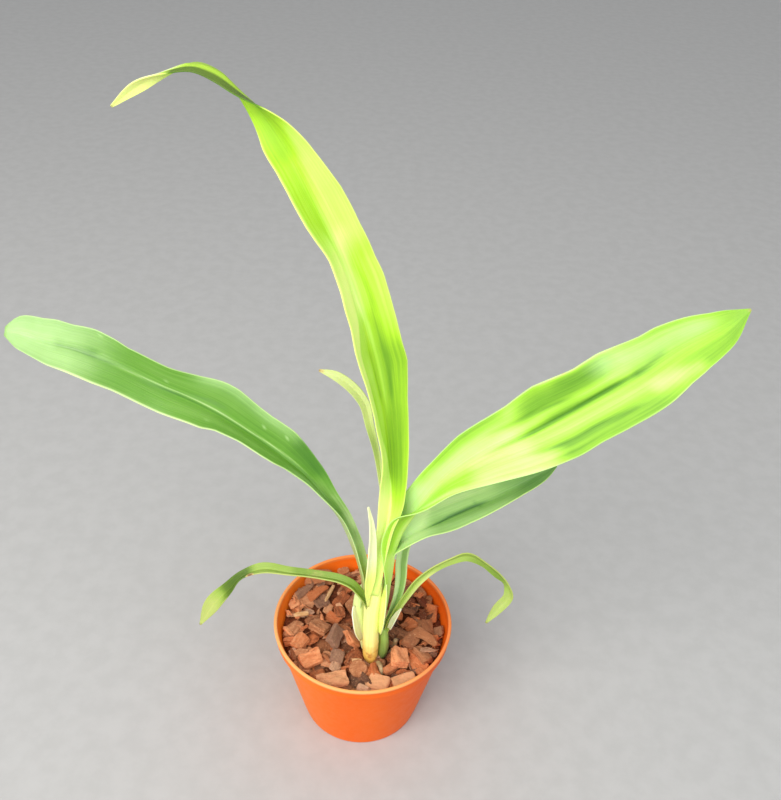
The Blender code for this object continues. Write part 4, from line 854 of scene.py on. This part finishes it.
def lumps(scale, amount, seed):
    def bump(t, angle):
        spot = Vector((math.cos(angle) * scale, math.sin(angle) * scale, t * 6 * scale + seed))
        return amount * noise.noise(spot)
    return bump


def stem_bump(t, angle):
    """Fine ribs, and the free edge of the outer sheath that winds up the stem."""
    seam = (angle - (SEAM_ANGLE + SEAM_WIND * t)) % (2 * math.pi)
    lap = SEAM_RISE * float(ease(seam / SEAM_EDGE)) * float(ease((2 * math.pi - seam) / SEAM_FADE))
    node = NODE_RISE * math.exp(-((t - NODE_PLACE) / NODE_REACH) ** 2)
    ribs = CANE_RIB_RISE * math.sin(CANE_RIBS * angle)
    return lap + node - CANE_SUNK + ribs + 0.1 * lumps(1.2, 1.0, 3)(t, angle)


def bulb_bump(t, angle):
    ribs = BULB_RIB_RISE * math.sin(BULB_RIBS * angle + BULB_RIB_TWIST * t)
    return ribs + 0.25 * lumps(0.9, 1.0, 8)(t, angle)


# Bark

def pot_outer_radius(z):
    top = POT_HEIGHT - POT_RIM_HEIGHT
    top_radius = POT_RIM_RADIUS - POT_RIM_OVERHANG
    return POT_FOOT_RADIUS + (top_radius - POT_FOOT_RADIUS) * z / top


def pot_inner_radius(z):
    return pot_outer_radius(z) - POT_WALL


def inside_pot(point):
    x, y, z = point
    limit = pot_inner_radius(min(z, POT_HEIGHT)) - CHIP_WALL_GAP
    reach = math.hypot(x, y)
    scale = min(1.0, limit / reach) if reach else 1.0
    return (x * scale, y * scale, z)


def chip_corners(rng, size):
    """Corners of one chip: a flat block with uneven corners and two blunt noses."""
    length, width, thickness = size
    points = []
    for sx in (-1, 1):
        for sy in (-1, 1):
            for sz in (-1, 1):
                x = sx * length / 2 * rng.uniform(*CHIP_CORNER)
                y = sy * width / 2 * rng.uniform(*CHIP_CORNER)
                z = sz * thickness / 2 * rng.uniform(*CHIP_FACE)
                points.append(Vector((x, y, z)))
    end = length / 2 * rng.uniform(*CHIP_FACE)
    points.append(Vector((end, rng.uniform(*CHIP_NOSE) * width, 0)))
    along = rng.uniform(*CHIP_NOSE) * length
    points.append(Vector((along, width / 2 * rng.uniform(*CHIP_FACE), 0)))
    return points


def round_chip_corners():
    _, _, _, radius, thickness, _, _ = ROUND_CHIP
    top = ring(0, 0, thickness / 2, radius, ROUND_CHIP_SIDES)
    bottom = ring(0, 0, -thickness / 2, radius * ROUND_CHIP_TAPER, ROUND_CHIP_SIDES)
    return [Vector(corner) for pair in zip(top, bottom) for corner in pair]


def scattered_chips(rng):
    """The large chips that follow the rule: an even spiral with some play."""
    taken = [(c[0], c[1], c[3] / 2) for c in FRONT_CHIPS]
    taken.append((ROUND_CHIP[0], ROUND_CHIP[1], ROUND_CHIP[3]))
    reach = pot_inner_radius(BED_TOP) - CHIP_MARGIN
    golden = math.pi * (3 - math.sqrt(5))
    chips = []
    for k in range(CHIP_COUNT):
        radius = reach * math.sqrt((k + 0.5) / CHIP_COUNT)
        x = radius * math.cos(k * golden) + rng.uniform(-CHIP_PLAY, CHIP_PLAY)
        y = radius * math.sin(k * golden) + rng.uniform(-CHIP_PLAY, CHIP_PLAY)
        length = rng.uniform(*CHIP_LENGTH)
        width = length * rng.uniform(*CHIP_WIDTH_SHARE)
        thickness = rng.uniform(*CHIP_THICKNESS)
        turn = rng.uniform(0, 360)
        tilt = rng.uniform(-CHIP_TILT, CHIP_TILT)
        z = BED_TOP + rng.uniform(*CHIP_PROUD)
        if any(math.hypot(x - a, y - b) < CHIP_CROWDING * c for a, b, c in taken):
            z -= CHIP_SUNK
        corners = chip_corners(rng, (length, width, thickness))
        for corner in corners:
            corner.z *= FLATTER[k % len(FLATTER)]
        chips.append(((x, y, z), turn, tilt, corners, CHIP_ROUGHNESS, None))
    return chips


def crumbs(rng):
    """Small chips and slivers between the large ones, many of them along the wall."""
    reach = pot_inner_radius(BED_TOP) - CRUMB_MARGIN
    chips = []
    for k in range(CRUMBS):
        radius = reach * math.sqrt(rng.random())
        if k < CRUMBS_AT_WALL:
            radius = reach - rng.uniform(*CRUMB_WALL_BELT)
        angle = rng.uniform(0, 2 * math.pi)
        length = rng.uniform(*CRUMB_LENGTH)
        width = length * rng.uniform(*CRUMB_WIDTH_SHARE)
        thickness = length * rng.uniform(*CRUMB_THICKNESS_SHARE)
        x, y, z = radius * math.cos(angle), radius * math.sin(angle), BED_TOP + rng.uniform(*CRUMB_PROUD)
        on_front_chip = any(math.hypot(x - c[0], y - c[1]) < FRONT_CHIP_CLEAR * c[3] for c in FRONT_CHIPS)
        if on_front_chip or math.hypot(x - STEM_FOOT[0], y - STEM_FOOT[1]) < STEM_CLEAR:
            z = BED_TOP + CRUMB_SUNK
        turn, tilt = rng.uniform(0, 360), rng.uniform(-CRUMB_TILT, CRUMB_TILT)
        corners = chip_corners(rng, (length, width, thickness))
        chips.append(((x, y, z), turn, tilt, corners, CRUMB_ROUGHNESS, None))
    return chips


def placed_chips(rng, table, roughness, tones, taper=0):
    """Chips of a table, each with its tone, narrower towards one end where they have a taper."""
    chips = []
    for row, tone in zip(table, tones):
        x, y, z, length, width, thickness, turn, tilt = row[:8]
        corners = chip_corners(rng, (length, width, thickness))
        for corner in corners:
            corner.y *= 1 - taper * max(0.0, corner.x / length)
        chips.append(((x, y, z), turn, tilt, corners, roughness, tone))
    return chips


def worn(point, scale, seed):
    return noise.noise(Vector([value * k for value, k in zip(point, scale)]) + seed)


def rough_chip(corners, roughness, seed, fine):
    """A chip broken from bark: flat faces with sharp edges, worn in thin layers, at the origin."""
    bm = bmesh.new()
    for corner in corners:
        bm.verts.new(corner)
    made = bmesh.ops.convex_hull(bm, input=bm.verts)
    spare = set(made["geom_interior"]) | set(made["geom_unused"])
    bmesh.ops.delete(bm, geom=[v for v in bm.verts if v in spare], context="VERTS")
    bmesh.ops.dissolve_limit(bm, angle_limit=0.02, verts=bm.verts, edges=bm.edges)
    bmesh.ops.bevel(bm, geom=bm.edges, offset=CHIP_BEVEL, segments=1, affect="EDGES")
    bmesh.ops.triangulate(bm, faces=bm.faces)
    for _ in range(CHIP_SPLITS):
        long_edges = [e for e in bm.edges if e.calc_length() > fine]
        if not long_edges:
            break
        bmesh.ops.subdivide_edges(bm, edges=long_edges, cuts=1)
        bmesh.ops.triangulate(bm, faces=bm.faces)
    bmesh.ops.recalc_face_normals(bm, faces=bm.faces)
    bm.normal_update()
    moves = []
    for v in bm.verts:
        layer = worn(v.co, LAYER_SCALE, seed * 2) * LAYERS
        step = math.floor(layer) + float(ease((layer - math.floor(layer)) * LAYER_EDGE - LAYER_FLAT))
        crack = max(0.0, 1.0 - abs(worn(v.co, CRACK_SCALE, seed * 3)) / CRACK_WIDTH)
        pit = abs(noise.noise(v.co * PIT_SCALE + seed))
        swell = SWELL * worn(v.co, SWELL_SCALE, seed)
        moves.append(swell + LAYER_DEPTH * step - CRACK_DEPTH * crack - PIT_DEPTH * pit)
    for v, move in zip(bm.verts, moves):
        v.co += v.normal * move * roughness
    bm.verts.index_update()
    points = [v.co.copy() for v in bm.verts]
    faces = [[v.index for v in f.verts] for f in bm.faces]
    bm.free()
    return points, faces


def laid(middle, turn, tilt, points):
    turned = Matrix.Rotation(math.radians(turn), 3, "Z") @ Matrix.Rotation(math.radians(tilt), 3, "X")
    return [inside_pot(Vector(middle) + turned @ point) for point in points]


def chip_mesh(name, chips, first_number, fine_count):
    """One mesh of chips, the first of them with a finer surface."""
    points, faces = [], []
    data = {"grain": [], "tint": [], "hue": []}
    shades = random.Random(SHADE_SEED + first_number)
    for k, (middle, turn, tilt, corners, roughness, tone) in enumerate(chips):
        seed = Vector([(k + first_number) * step for step in SEED_STEPS])
        fine = FINE_CHIP if k < fine_count else COARSE_CHIP
        local, local_faces = rough_chip(corners, roughness, seed, fine)
        first = len(points)
        points += laid(middle, turn, tilt, local)
        faces += [[first + i for i in face] for face in local_faces]
        tint, hue = shades.random(), HUE_REACH * shades.random()
        if tone is not None:
            tint, hue = tone
        else:
            # Painted light: chips on the left, towards the key light, are lighter, those on the right
            # darker.
            tint = TINT_REACH * tint + LEAST_TINT - PAINTED_LIGHT_ACROSS * middle[0] / POT_RIM_RADIUS
            tint = min(1.0, max(0.0, tint))
        data["grain"] += [tuple(p + seed * 10) for p in local]
        data["tint"] += [tint] * len(local)
        data["hue"] += [hue] * len(local)
    bed = piece(name, points, faces, data)
    bed.data.set_sharp_from_angle(angle=math.radians(SHARP_EDGE))
    return bed


def make_bark():
    """The part's own chips, and a second piece with the smaller ones that lie between and on them."""
    rng = random.Random(CHIP_SEED)
    turn, tilt = ROUND_CHIP[5:]
    chips = [(ROUND_CHIP[:3], turn, tilt, round_chip_corners(), FRONT_ROUGHNESS, ROUND_TONE)]
    chips += placed_chips(rng, FRONT_CHIPS, FRONT_ROUGHNESS, FRONT_TONES)
    chips += scattered_chips(rng)
    small = crumbs(random.Random(CRUMB_SEED))
    straw = [(SLIVER_TINT, STRAW_HUE)] * len(SLIVERS)
    small += placed_chips(random.Random(SLIVER_SEED), SLIVERS, SLIVER_ROUGHNESS, straw)
    tones = [row[8:] for row in FLAKES]
    small += placed_chips(random.Random(FLAKE_SEED), FLAKES, FLAKE_ROUGHNESS, tones, FLAKE_TAPER)
    return (chip_mesh("bark_chips", chips, 0, 1 + len(FRONT_CHIPS)),
            chip_mesh("bark_crumbs", small, len(chips), 0))


def make_fill():
    """The fill under the chips, painted dark as shade deep between them, with a crumbly top."""
    points = []
    top_radius = pot_inner_radius(BED_TOP) - FILL_WALL_GAP
    for i in range(FILL_RINGS):
        for x, y, _ in ring(0, 0, 0, top_radius * (i + 1) / FILL_RINGS, FILL_SIDES):
            rise = FILL_LUMPS * noise.noise(Vector((x * FILL_SCALE, y * FILL_SCALE, FILL_SEED)))
            points.append((x, y, BED_TOP - FILL_SUNK + rise))
    bottom = POT_FOOT_LIFT + POT_WALL + FILL_FLOOR_GAP
    points += ring(0, 0, bottom, pot_inner_radius(bottom) - FILL_FOOT_GAP, FILL_SIDES)
    tint, hue = FILL_PAINTED_SHADE_TONE
    data = {"grain": points, "tint": [tint] * len(points), "hue": [hue] * len(points)}
    return piece("bark_fill", points, skin(FILL_RINGS + 1, FILL_SIDES), data)


# Pot

def arc(x, z, radius, start, end, steps):
    turns = [math.radians(start + (end - start) * k / steps) for k in range(steps + 1)]
    return [(x + radius * math.cos(turn), z + radius * math.sin(turn)) for turn in turns]


def pot_profile():
    """Radius and height, from the underside round the foot, the wall and the lip to the floor inside."""
    band = POT_HEIGHT - POT_RIM_HEIGHT
    foot_inner = POT_FOOT_RADIUS - POT_FOOT_WIDTH
    floor_top = POT_FOOT_LIFT + POT_WALL
    shoulder = POT_HEIGHT - POT_SHOULDER_DROP
    lip, foot, edge, fillet = POT_LIP_RADIUS, POT_FOOT_ROUND, POT_BAND_ROUND, POT_BAND_FILLET
    low_inset, high_inset = POT_BAND_TAPER
    ledge_out, ledge_up = POT_LEDGE
    profile = [(foot_inner - 1.0, POT_FOOT_LIFT), (foot_inner - 0.3, 0.2), (foot_inner, 0.0)]
    profile += arc(POT_FOOT_RADIUS - foot, foot, foot, -90, -5, 5)
    profile += [(pot_outer_radius(z), z) for z in (*OUTER_RINGS, band - fillet)]
    profile += arc(pot_outer_radius(band) + fillet, band - fillet, fillet, 180, 95, 3)
    profile += arc(POT_RIM_RADIUS - POT_BAND_INSET, band + edge, edge, -80, 0, 4)
    profile += [(POT_RIM_RADIUS - low_inset, shoulder - POT_BAND_STEP)]
    profile += [(POT_RIM_RADIUS - high_inset, shoulder)]
    profile += arc(POT_RIM_RADIUS - lip, POT_HEIGHT - lip, lip, -50, 200, 14)
    profile += [(POT_RIM_RADIUS - POT_LIP_INSET, shoulder)]
    profile += [(pot_inner_radius(band) + ledge_out, band + ledge_up)]
    profile += [(pot_inner_radius(band), band - ledge_up)]
    profile += [(pot_inner_radius(z), z) for z in (*INNER_RINGS, floor_top + POT_FLOOR_ROUND)]
    return profile + [(pot_inner_radius(floor_top) - POT_FLOOR_ROUND, floor_top)]


def make_pot():
    profile = pot_profile()
    points = [point for radius, z in profile for point in ring(0, 0, z, radius, POT_SEGMENTS)]
    pot = piece("pot_shell", points, skin(len(profile), POT_SEGMENTS))
    drills = []
    for k in range(DRAIN_HOLES):
        angle = 2 * math.pi * (k + 0.5) / DRAIN_HOLES
        x, y = DRAIN_CIRCLE * math.cos(angle), DRAIN_CIRCLE * math.sin(angle)
        corners = [point for z in DRILL_REACH for point in ring(x, y, z, DRAIN_RADIUS, DRILL_SIDES)]
        drills.append(piece(f"drill_{k}", corners, skin(2, DRILL_SIDES)))
        hole = pot.modifiers.new("hole", "BOOLEAN")
        hole.operation = "DIFFERENCE"
        hole.object = drills[-1]
        hole.solver = "MANIFOLD"
    mesh = bpy.data.meshes.new_from_object(pot.evaluated_get(bpy.context.evaluated_depsgraph_get()))
    pot.modifiers.clear()
    pot.data = mesh
    for drill in drills:
        bpy.data.objects.remove(drill)
    mesh.materials.clear()
    mesh.shade_smooth()
    mesh.set_sharp_from_angle(angle=math.radians(SHARP_EDGE))
    return pot


# Materials

def shown(red, green, blue):
    """The linear colour of a screen colour given from 0 to 255."""
    return tuple(((value / 255 + 0.055) / 1.055) ** 2.4 for value in (red, green, blue))


class Paint:
    """A Principled material and the few node patterns that feed it."""

    def __init__(self, name, roughness, **settings):
        self.material = bpy.data.materials.new(name)
        self.material.use_nodes = True
        self.tree = self.material.node_tree
        self.shader = self.tree.nodes["Principled BSDF"]
        self.shader.inputs["Roughness"].default_value = roughness
        for key, value in settings.items():
            self.shader.inputs[key.replace("_", " ")].default_value = value

    def link(self, value, socket):
        if isinstance(value, (int, float)):
            socket.default_value = value
        elif isinstance(value, tuple):
            socket.default_value = (*value, 1.0) if len(value) == 3 and socket.type == "RGBA" else value
        else:
            self.tree.links.new(value, socket)

    def node(self, kind, *values, out=0, **settings):
        """The output of a new node, with its first inputs set to the values or linked to them."""
        node = self.tree.nodes.new("ShaderNode" + kind)
        for key, value in settings.items():
            setattr(node, key, value)
        for value, socket in zip(values, node.inputs):
            self.link(value, socket)
        return node.outputs[out]

    def attribute(self, name, output="Fac"):
        return self.node("Attribute", out=output, attribute_name=name)

    def place(self):
        return self.node("TexCoord", out="Object")

    def point(self, x, y, z):
        return self.node("CombineXYZ", x, y, z)

    def axis(self, where, index):
        return self.node("SeparateXYZ", where, out=index)

    def plus(self, a, b, clamp=False):
        return self.node("Math", a, b, operation="ADD", use_clamp=clamp)

    def times(self, a, b, clamp=False):
        return self.node("Math", a, b, operation="MULTIPLY", use_clamp=clamp)

    def sway(self, pattern, amount):
        """The pattern, which lies round a half, as that much more or less round nothing."""
        return self.times(self.plus(pattern, -0.5), amount)

    def noise(self, where, scale, detail=3.0, rough=0.55):
        return self.node("TexNoise", where, 0.0, scale, detail, rough)

    def ramp(self, factor, stops, smooth=True):
        node = self.tree.nodes.new("ShaderNodeValToRGB")
        node.color_ramp.interpolation = "EASE" if smooth else "LINEAR"
        points = node.color_ramp.elements
        while len(points) < len(stops):
            points.new(1.0)
        for point, (place, colour) in zip(points, stops):
            point.position = place
            point.color = (*colour, 1.0) if isinstance(colour, tuple) else (colour, colour, colour, 1.0)
        self.link(factor, node.inputs[0])
        return node.outputs[0]

    def shades(self, factor, places, colours, smooth=True):
        stops = [(place, shown(*colour)) for place, colour in zip(places, colours)]
        return self.ramp(factor, stops, smooth)

    def mix(self, factor, a, b, kind="MIX"):
        node = self.tree.nodes.new("ShaderNodeMix")
        node.data_type = "RGBA"
        node.blend_type = kind
        for value, index in ((factor, 0), (a, 6), (b, 7)):
            self.link(value, node.inputs[index])
        return node.outputs[2]

    def complete(self, colour, height, strength, distance, roughness=None):
        """Links the colour, the small relief and the roughness, and gives the material."""
        self.link(colour, self.shader.inputs["Base Color"])
        if roughness is not None:
            self.link(roughness, self.shader.inputs["Roughness"])
        bump = self.tree.nodes.new("ShaderNodeBump")
        for key, value in (("Strength", strength), ("Distance", distance), ("Height", height)):
            self.link(value, bump.inputs[key])
        self.link(bump.outputs[0], self.shader.inputs["Normal"])
        return self.material


def leaf_material(name, tones, under, roughness=0.42, gloss=0.4):
    """A leaf: tones along its bands, partly painted shade and light, a duller underside, bloom with painted
    sheen and glints, a pale margin, fine long veins and dry spots.
    """
    p = Paint(name, roughness, Subsurface_Weight=0.2, Subsurface_Scale=0.0012, Specular_IOR_Level=gloss)
    p.shader.inputs["Subsurface Radius"].default_value = (0.7, 1.0, 0.25)
    along, across, tone = p.attribute("along"), p.attribute("across"), p.attribute("tone")
    streak = p.noise(p.point(p.times(across, 7.0), p.times(along, 1.3), 0.0), 1.6, 4.0)
    patch = p.noise(p.place(), 42.0, 3.0)
    drift = p.plus(p.sway(streak, 0.8), p.sway(patch, 0.35))
    # The bands' tone, partly painted shade and light, picks each colour from dark to pale.
    level = p.plus(p.times(p.plus(tone, drift), 0.4), 0.42, clamp=True)
    top = p.shades(level, (0, 0.2, 0.42, 0.68, 1), tones, smooth=False)
    colour = p.mix(p.attribute("under"), top, p.shades(level, (0.1, 0.42, 0.9), under, smooth=False))
    # Whitish colour, partly bloom and partly painted sheen and glints.
    bloom_and_sheen = p.times(p.attribute("bloom_and_sheen"), p.ramp(patch, [(0.25, 0.6), (0.7, 1.0)]), clamp=True)
    colour = p.mix(bloom_and_sheen, colour, shown(*BLOOM_AND_SHEEN))
    vein = p.noise(p.point(p.times(across, 30.0), p.times(along, 0.35), 3.0), 1.0, 2.0)
    colour = p.mix(0.3, colour, p.ramp(vein, [(0.3, 0.6), (0.7, 1.0)]), "SOFT_LIGHT")
    # The pale margin line fades where the bands paint shade.
    margin = p.ramp(p.node("Math", across, operation="ABSOLUTE"), [(0.955, 0.0), (0.985, 1.0)])
    margin = p.times(margin, p.ramp(p.plus(tone, 1.0), [(0.3, 0.0), (0.9, 1.0)]))
    colour = p.mix(p.times(margin, 0.6), colour, shown(*tones[-1]))
    dry = p.plus(p.attribute("dry"), p.sway(p.noise(p.place(), 420.0), 0.35))
    straw = p.shades(dry, (0.45, 0.95), DRY_LEAF)
    colour = p.mix(p.ramp(dry, [(0.22, 0.0), (0.55, 1.0)]), colour, straw)
    grain = p.noise(p.place(), 1500.0, 2.0)
    rough = p.plus(p.times(patch, 0.18), roughness - 0.09)
    return p.complete(colour, p.plus(vein, p.times(grain, 0.2)), 0.35, 0.0003, rough)


def stem_material(name, low, high, stain):
    """A stem or bulb: one colour at its foot and one at its top, with long ribs and stains."""
    p = Paint(name, 0.42, Subsurface_Weight=0.15, Subsurface_Scale=0.0015, Specular_IOR_Level=0.4)
    p.shader.inputs["Subsurface Radius"].default_value = (0.9, 1.0, 0.35)
    along, across = p.attribute("along"), p.attribute("across")
    streak = p.noise(p.point(p.times(across, 7.0), p.times(along, 2.0), 5.0), 1.0, 4.0)
    colour = p.shades(p.plus(along, p.sway(streak, 0.25)), (0.02, 0.24), (low, high))
    lines = p.noise(p.point(p.times(across, 30.0), p.times(along, 1.4), 1.0), 1.0, 2.0)
    colour = p.mix(0.35, colour, p.ramp(lines, [(0.3, 0.6), (0.7, 1.0)]), "SOFT_LIGHT")
    mark = p.noise(p.place(), 210.0, 4.0)
    mask = p.times(p.ramp(mark, [(0.5, 0.0), (0.66, 0.8)]), p.ramp(along, [(0.05, 1.0), (0.2, 0.0)]))
    return p.complete(p.mix(mask, colour, shown(*stain)), p.plus(lines, p.times(mark, 0.4)), 0.4, 0.0003)


def bark_material():
    """Bark: each chip has its own tone and hue, with layers, dark grooves and dusty faces."""
    p = Paint("bark_look", 0.85, Specular_IOR_Level=0.25)
    grain, hue = p.attribute("grain", "Vector"), p.attribute("hue")
    layers = p.noise(p.node("VectorMath", grain, (0.22, 0.6, 1.6), operation="MULTIPLY"), 1.0, 5.0, 0.65)
    flecks = p.noise(grain, 1.3, 4.0, 0.6)
    level = p.plus(p.attribute("tint"), p.sway(layers, 0.8))
    orange, brown, grey, straw = [p.shades(level, (0, 0.5, 1), tones) for tones in BARK_TONES]
    colour = p.mix(p.ramp(hue, [(0.25, 0.0), (0.45, 1.0)]), orange, brown)
    colour = p.mix(p.ramp(hue, [(0.6, 0.0), (0.9, 1.0)]), colour, grey)
    colour = p.mix(p.node("Math", hue, 1.2, operation="GREATER_THAN"), colour, straw)
    colour = p.mix(p.ramp(flecks, [(0.56, 0.0), (0.72, 0.5)]), colour, shown(*BARK_DUST))
    colour = p.mix(p.ramp(flecks, [(0.24, 0.75), (0.35, 0.0)]), colour, shown(*BARK_GROOVE))
    height = p.plus(layers, p.times(p.noise(grain, 4.0, 4.0), 0.6))
    return p.complete(colour, height, 0.8, 0.0009, p.ramp(flecks, [(0.3, 0.72), (0.7, 0.95)]))


def pot_material():
    """Satin plastic with painted light, lighter on its left and darker on its right, a painted highlight
    along the lip at the front left, and lighter scuffs.
    """
    p = Paint("pot_look", 0.5, Specular_IOR_Level=0.18)
    where = p.place()
    x, y, z = [p.axis(where, index) for index in range(3)]
    # Painted light: lighter on the left, where the key light falls, darker on the right.
    colour = p.shades(p.plus(p.times(x, 12.0), 0.5), (0.05, 0.5, 0.95), POT_PAINTED_LIGHT_TONES)
    cloud = p.ramp(p.noise(where, 22.0, 3.0), [(0.3, 0.0), (0.7, 0.25)])
    colour = p.mix(cloud, colour, shown(*POT_CLOUD))
    scuff = p.noise(where, 260.0, 5.0, 0.7)
    colour = p.mix(p.ramp(scuff, [(0.64, 0.0), (0.78, 0.35)]), colour, shown(*POT_SCUFF))
    # Painted highlight along the lip, strongest at the front left, towards the key light.
    lip = p.ramp(p.times(z, 10.0), [(0.596, 0.0), (0.612, 1.0)])
    front = p.plus(p.plus(p.times(x, -9.0), p.times(y, -12.0)), 0.3)
    colour = p.mix(p.times(lip, p.ramp(front, [(0.0, 0.3), (0.85, 0.7)])), colour, shown(*POT_LIP_HIGHLIGHT))
    rough = p.ramp(scuff, [(0.35, 0.44), (0.7, 0.56)])
    return p.complete(colour, p.noise(where, 900.0, 3.0), 0.12, 0.0002, rough)


def papery_material(name, low, high, foot=None):
    """A dry sheath: streaked along its length, brown where it is torn and of another colour at its foot."""
    p = Paint(name, 0.65, Subsurface_Weight=0.12, Subsurface_Scale=0.0015, Specular_IOR_Level=0.3)
    along, across = p.attribute("along"), p.attribute("across")
    streak = p.noise(p.point(p.times(across, 12.0), p.times(along, 3.0), 7.0), 1.0, 4.0)
    colour = p.shades(streak, (0.3, 0.7), (low, high))
    if foot:
        colour = p.mix(p.ramp(along, [(0.16, 0.0), (0.34, 1.0)]), shown(*foot), colour)
    dry = p.plus(p.attribute("dry"), p.sway(p.noise(p.place(), 300.0, 4.0), 0.6))
    colour = p.mix(p.ramp(dry, [(0.4, 0.0), (0.9, 0.9)]), colour, shown(*DRY_SHEATH))
    return p.complete(colour, streak, 0.6, 0.0004)


def root_material():
    p = Paint("root_look", 0.7, Subsurface_Weight=0.1, Subsurface_Scale=0.0015)
    spots = p.noise(p.place(), 320.0, 4.0)
    return p.complete(p.ramp(spots, list(zip((0.3, 0.5, 0.75), ROOT_TONES))), spots, 0.5, 0.0004)


# Assembly

def make_leaves():
    looks = {name: leaf_material(name, *settings) for name, settings in LEAF_LOOKS.items()}
    looks |= {name: papery_material(name, *colours) for name, colours in PAPERY_LOOKS.items()}
    for name, look, slot in LEAF_DRESS:
        dress(make_blade(name), looks[look], slot, name)


def make_stems():
    for node, name, slot, colours, sides, step, bump in (
            ("pseudostem", "cane", "stem", CANE_TONES, CANE_SIDES, TUBE_STEP, stem_bump),
            ("back_bulb", "old_bulb", "papery", OLD_BULB_TONES, BULB_SIDES, TUBE_STEP, bulb_bump),
            ("side_bulb", "young_bulb", "bulb", YOUNG_BULB_TONES, BULB_SIDES, YOUNG_BULB_STEP, bulb_bump)):
        look = stem_material(f"{name}_look", *colours)
        dress(tube(name, STEMS[node], sides, bump, step), look, slot, node)


def make_roots():
    look = root_material()
    dress(tube("rhizome", RHIZOME, RHIZOME_SIDES, lumps(0.8, 0.35, 1)), look, "root", "rhizome_roots")
    for k, route in enumerate(ROOTS):
        stations = [(*p, ROOT_RADIUS - ROOT_TAPER * i / (len(route) - 1)) for i, p in enumerate(route)]
        dress(tube(f"root_{k}", stations, ROOT_SIDES, lumps(1.0, 0.22, 11 + k)), look, "root")


def make_floor():
    bpy.ops.mesh.primitive_plane_add(size=FLOOR_SIZE)
    floor = bpy.context.object
    floor.name = "floor"
    p = Paint("floor_look", 0.8, Specular_IOR_Level=0.2)
    speck = p.ramp(p.noise(p.place(), 90.0, 4.0), list(zip((0.3, 0.7), FLOOR_TONES)))
    p.link(speck, p.shader.inputs["Base Color"])
    floor.data.materials.append(p.material)


def area_light(name, place, power, colour):
    light = bpy.data.lights.new(name, "AREA")
    light.size = LIGHT_SIZE
    light.energy = power
    light.color = colour
    obj = bpy.data.objects.new(name, light)
    obj.location = place
    obj.rotation_euler = (Vector(LIGHT_TARGET) - Vector(place)).to_track_quat("-Z", "Y").to_euler()
    bpy.context.scene.collection.objects.link(obj)


def make_lights():
    world = bpy.data.worlds.new("studio")
    world.use_nodes = True
    back = world.node_tree.nodes["Background"]
    back.inputs["Color"].default_value = SKY_COLOUR
    back.inputs["Strength"].default_value = SKY_STRENGTH
    bpy.context.scene.world = world
    for name, settings in LIGHTS.items():
        area_light(name, *settings)


def make_camera():
    """The photo's view, from above and in front, with its small roll."""
    pitch, roll = math.radians(CAMERA_PITCH), math.radians(CAMERA_ROLL)
    forward = Vector((0, math.cos(pitch), -math.sin(pitch)))
    up = Vector((0, math.sin(pitch), math.cos(pitch)))
    right = Vector((1, 0, 0))
    side = right * math.cos(roll) + up * math.sin(roll)
    above = up * math.cos(roll) - right * math.sin(roll)
    camera = bpy.data.cameras.new("camera")
    camera.lens = CAMERA_LENS
    camera.sensor_width = CAMERA_SENSOR
    camera.clip_start = 0.01
    obj = bpy.data.objects.new("camera", camera)
    pose = Matrix((side, above, -forward)).transposed().to_4x4()
    pose.translation = Vector(CAMERA_PLACE)
    obj.matrix_world = pose
    bpy.context.scene.collection.objects.link(obj)
    bpy.context.scene.camera = obj


make_camera()
make_lights()
make_floor()
dress(make_pot(), pot_material(), "pot", "pot")
bark_look = bark_material()
large_chips, small_chips = make_bark()
dress(large_chips, bark_look, "bark", "bark_bed")
dress(small_chips, bark_look, "bark")
dress(make_fill(), bark_look, "bark")
make_stems()
make_roots()
make_leaves()
bpy.context.scene.view_settings.view_transform = "Standard"
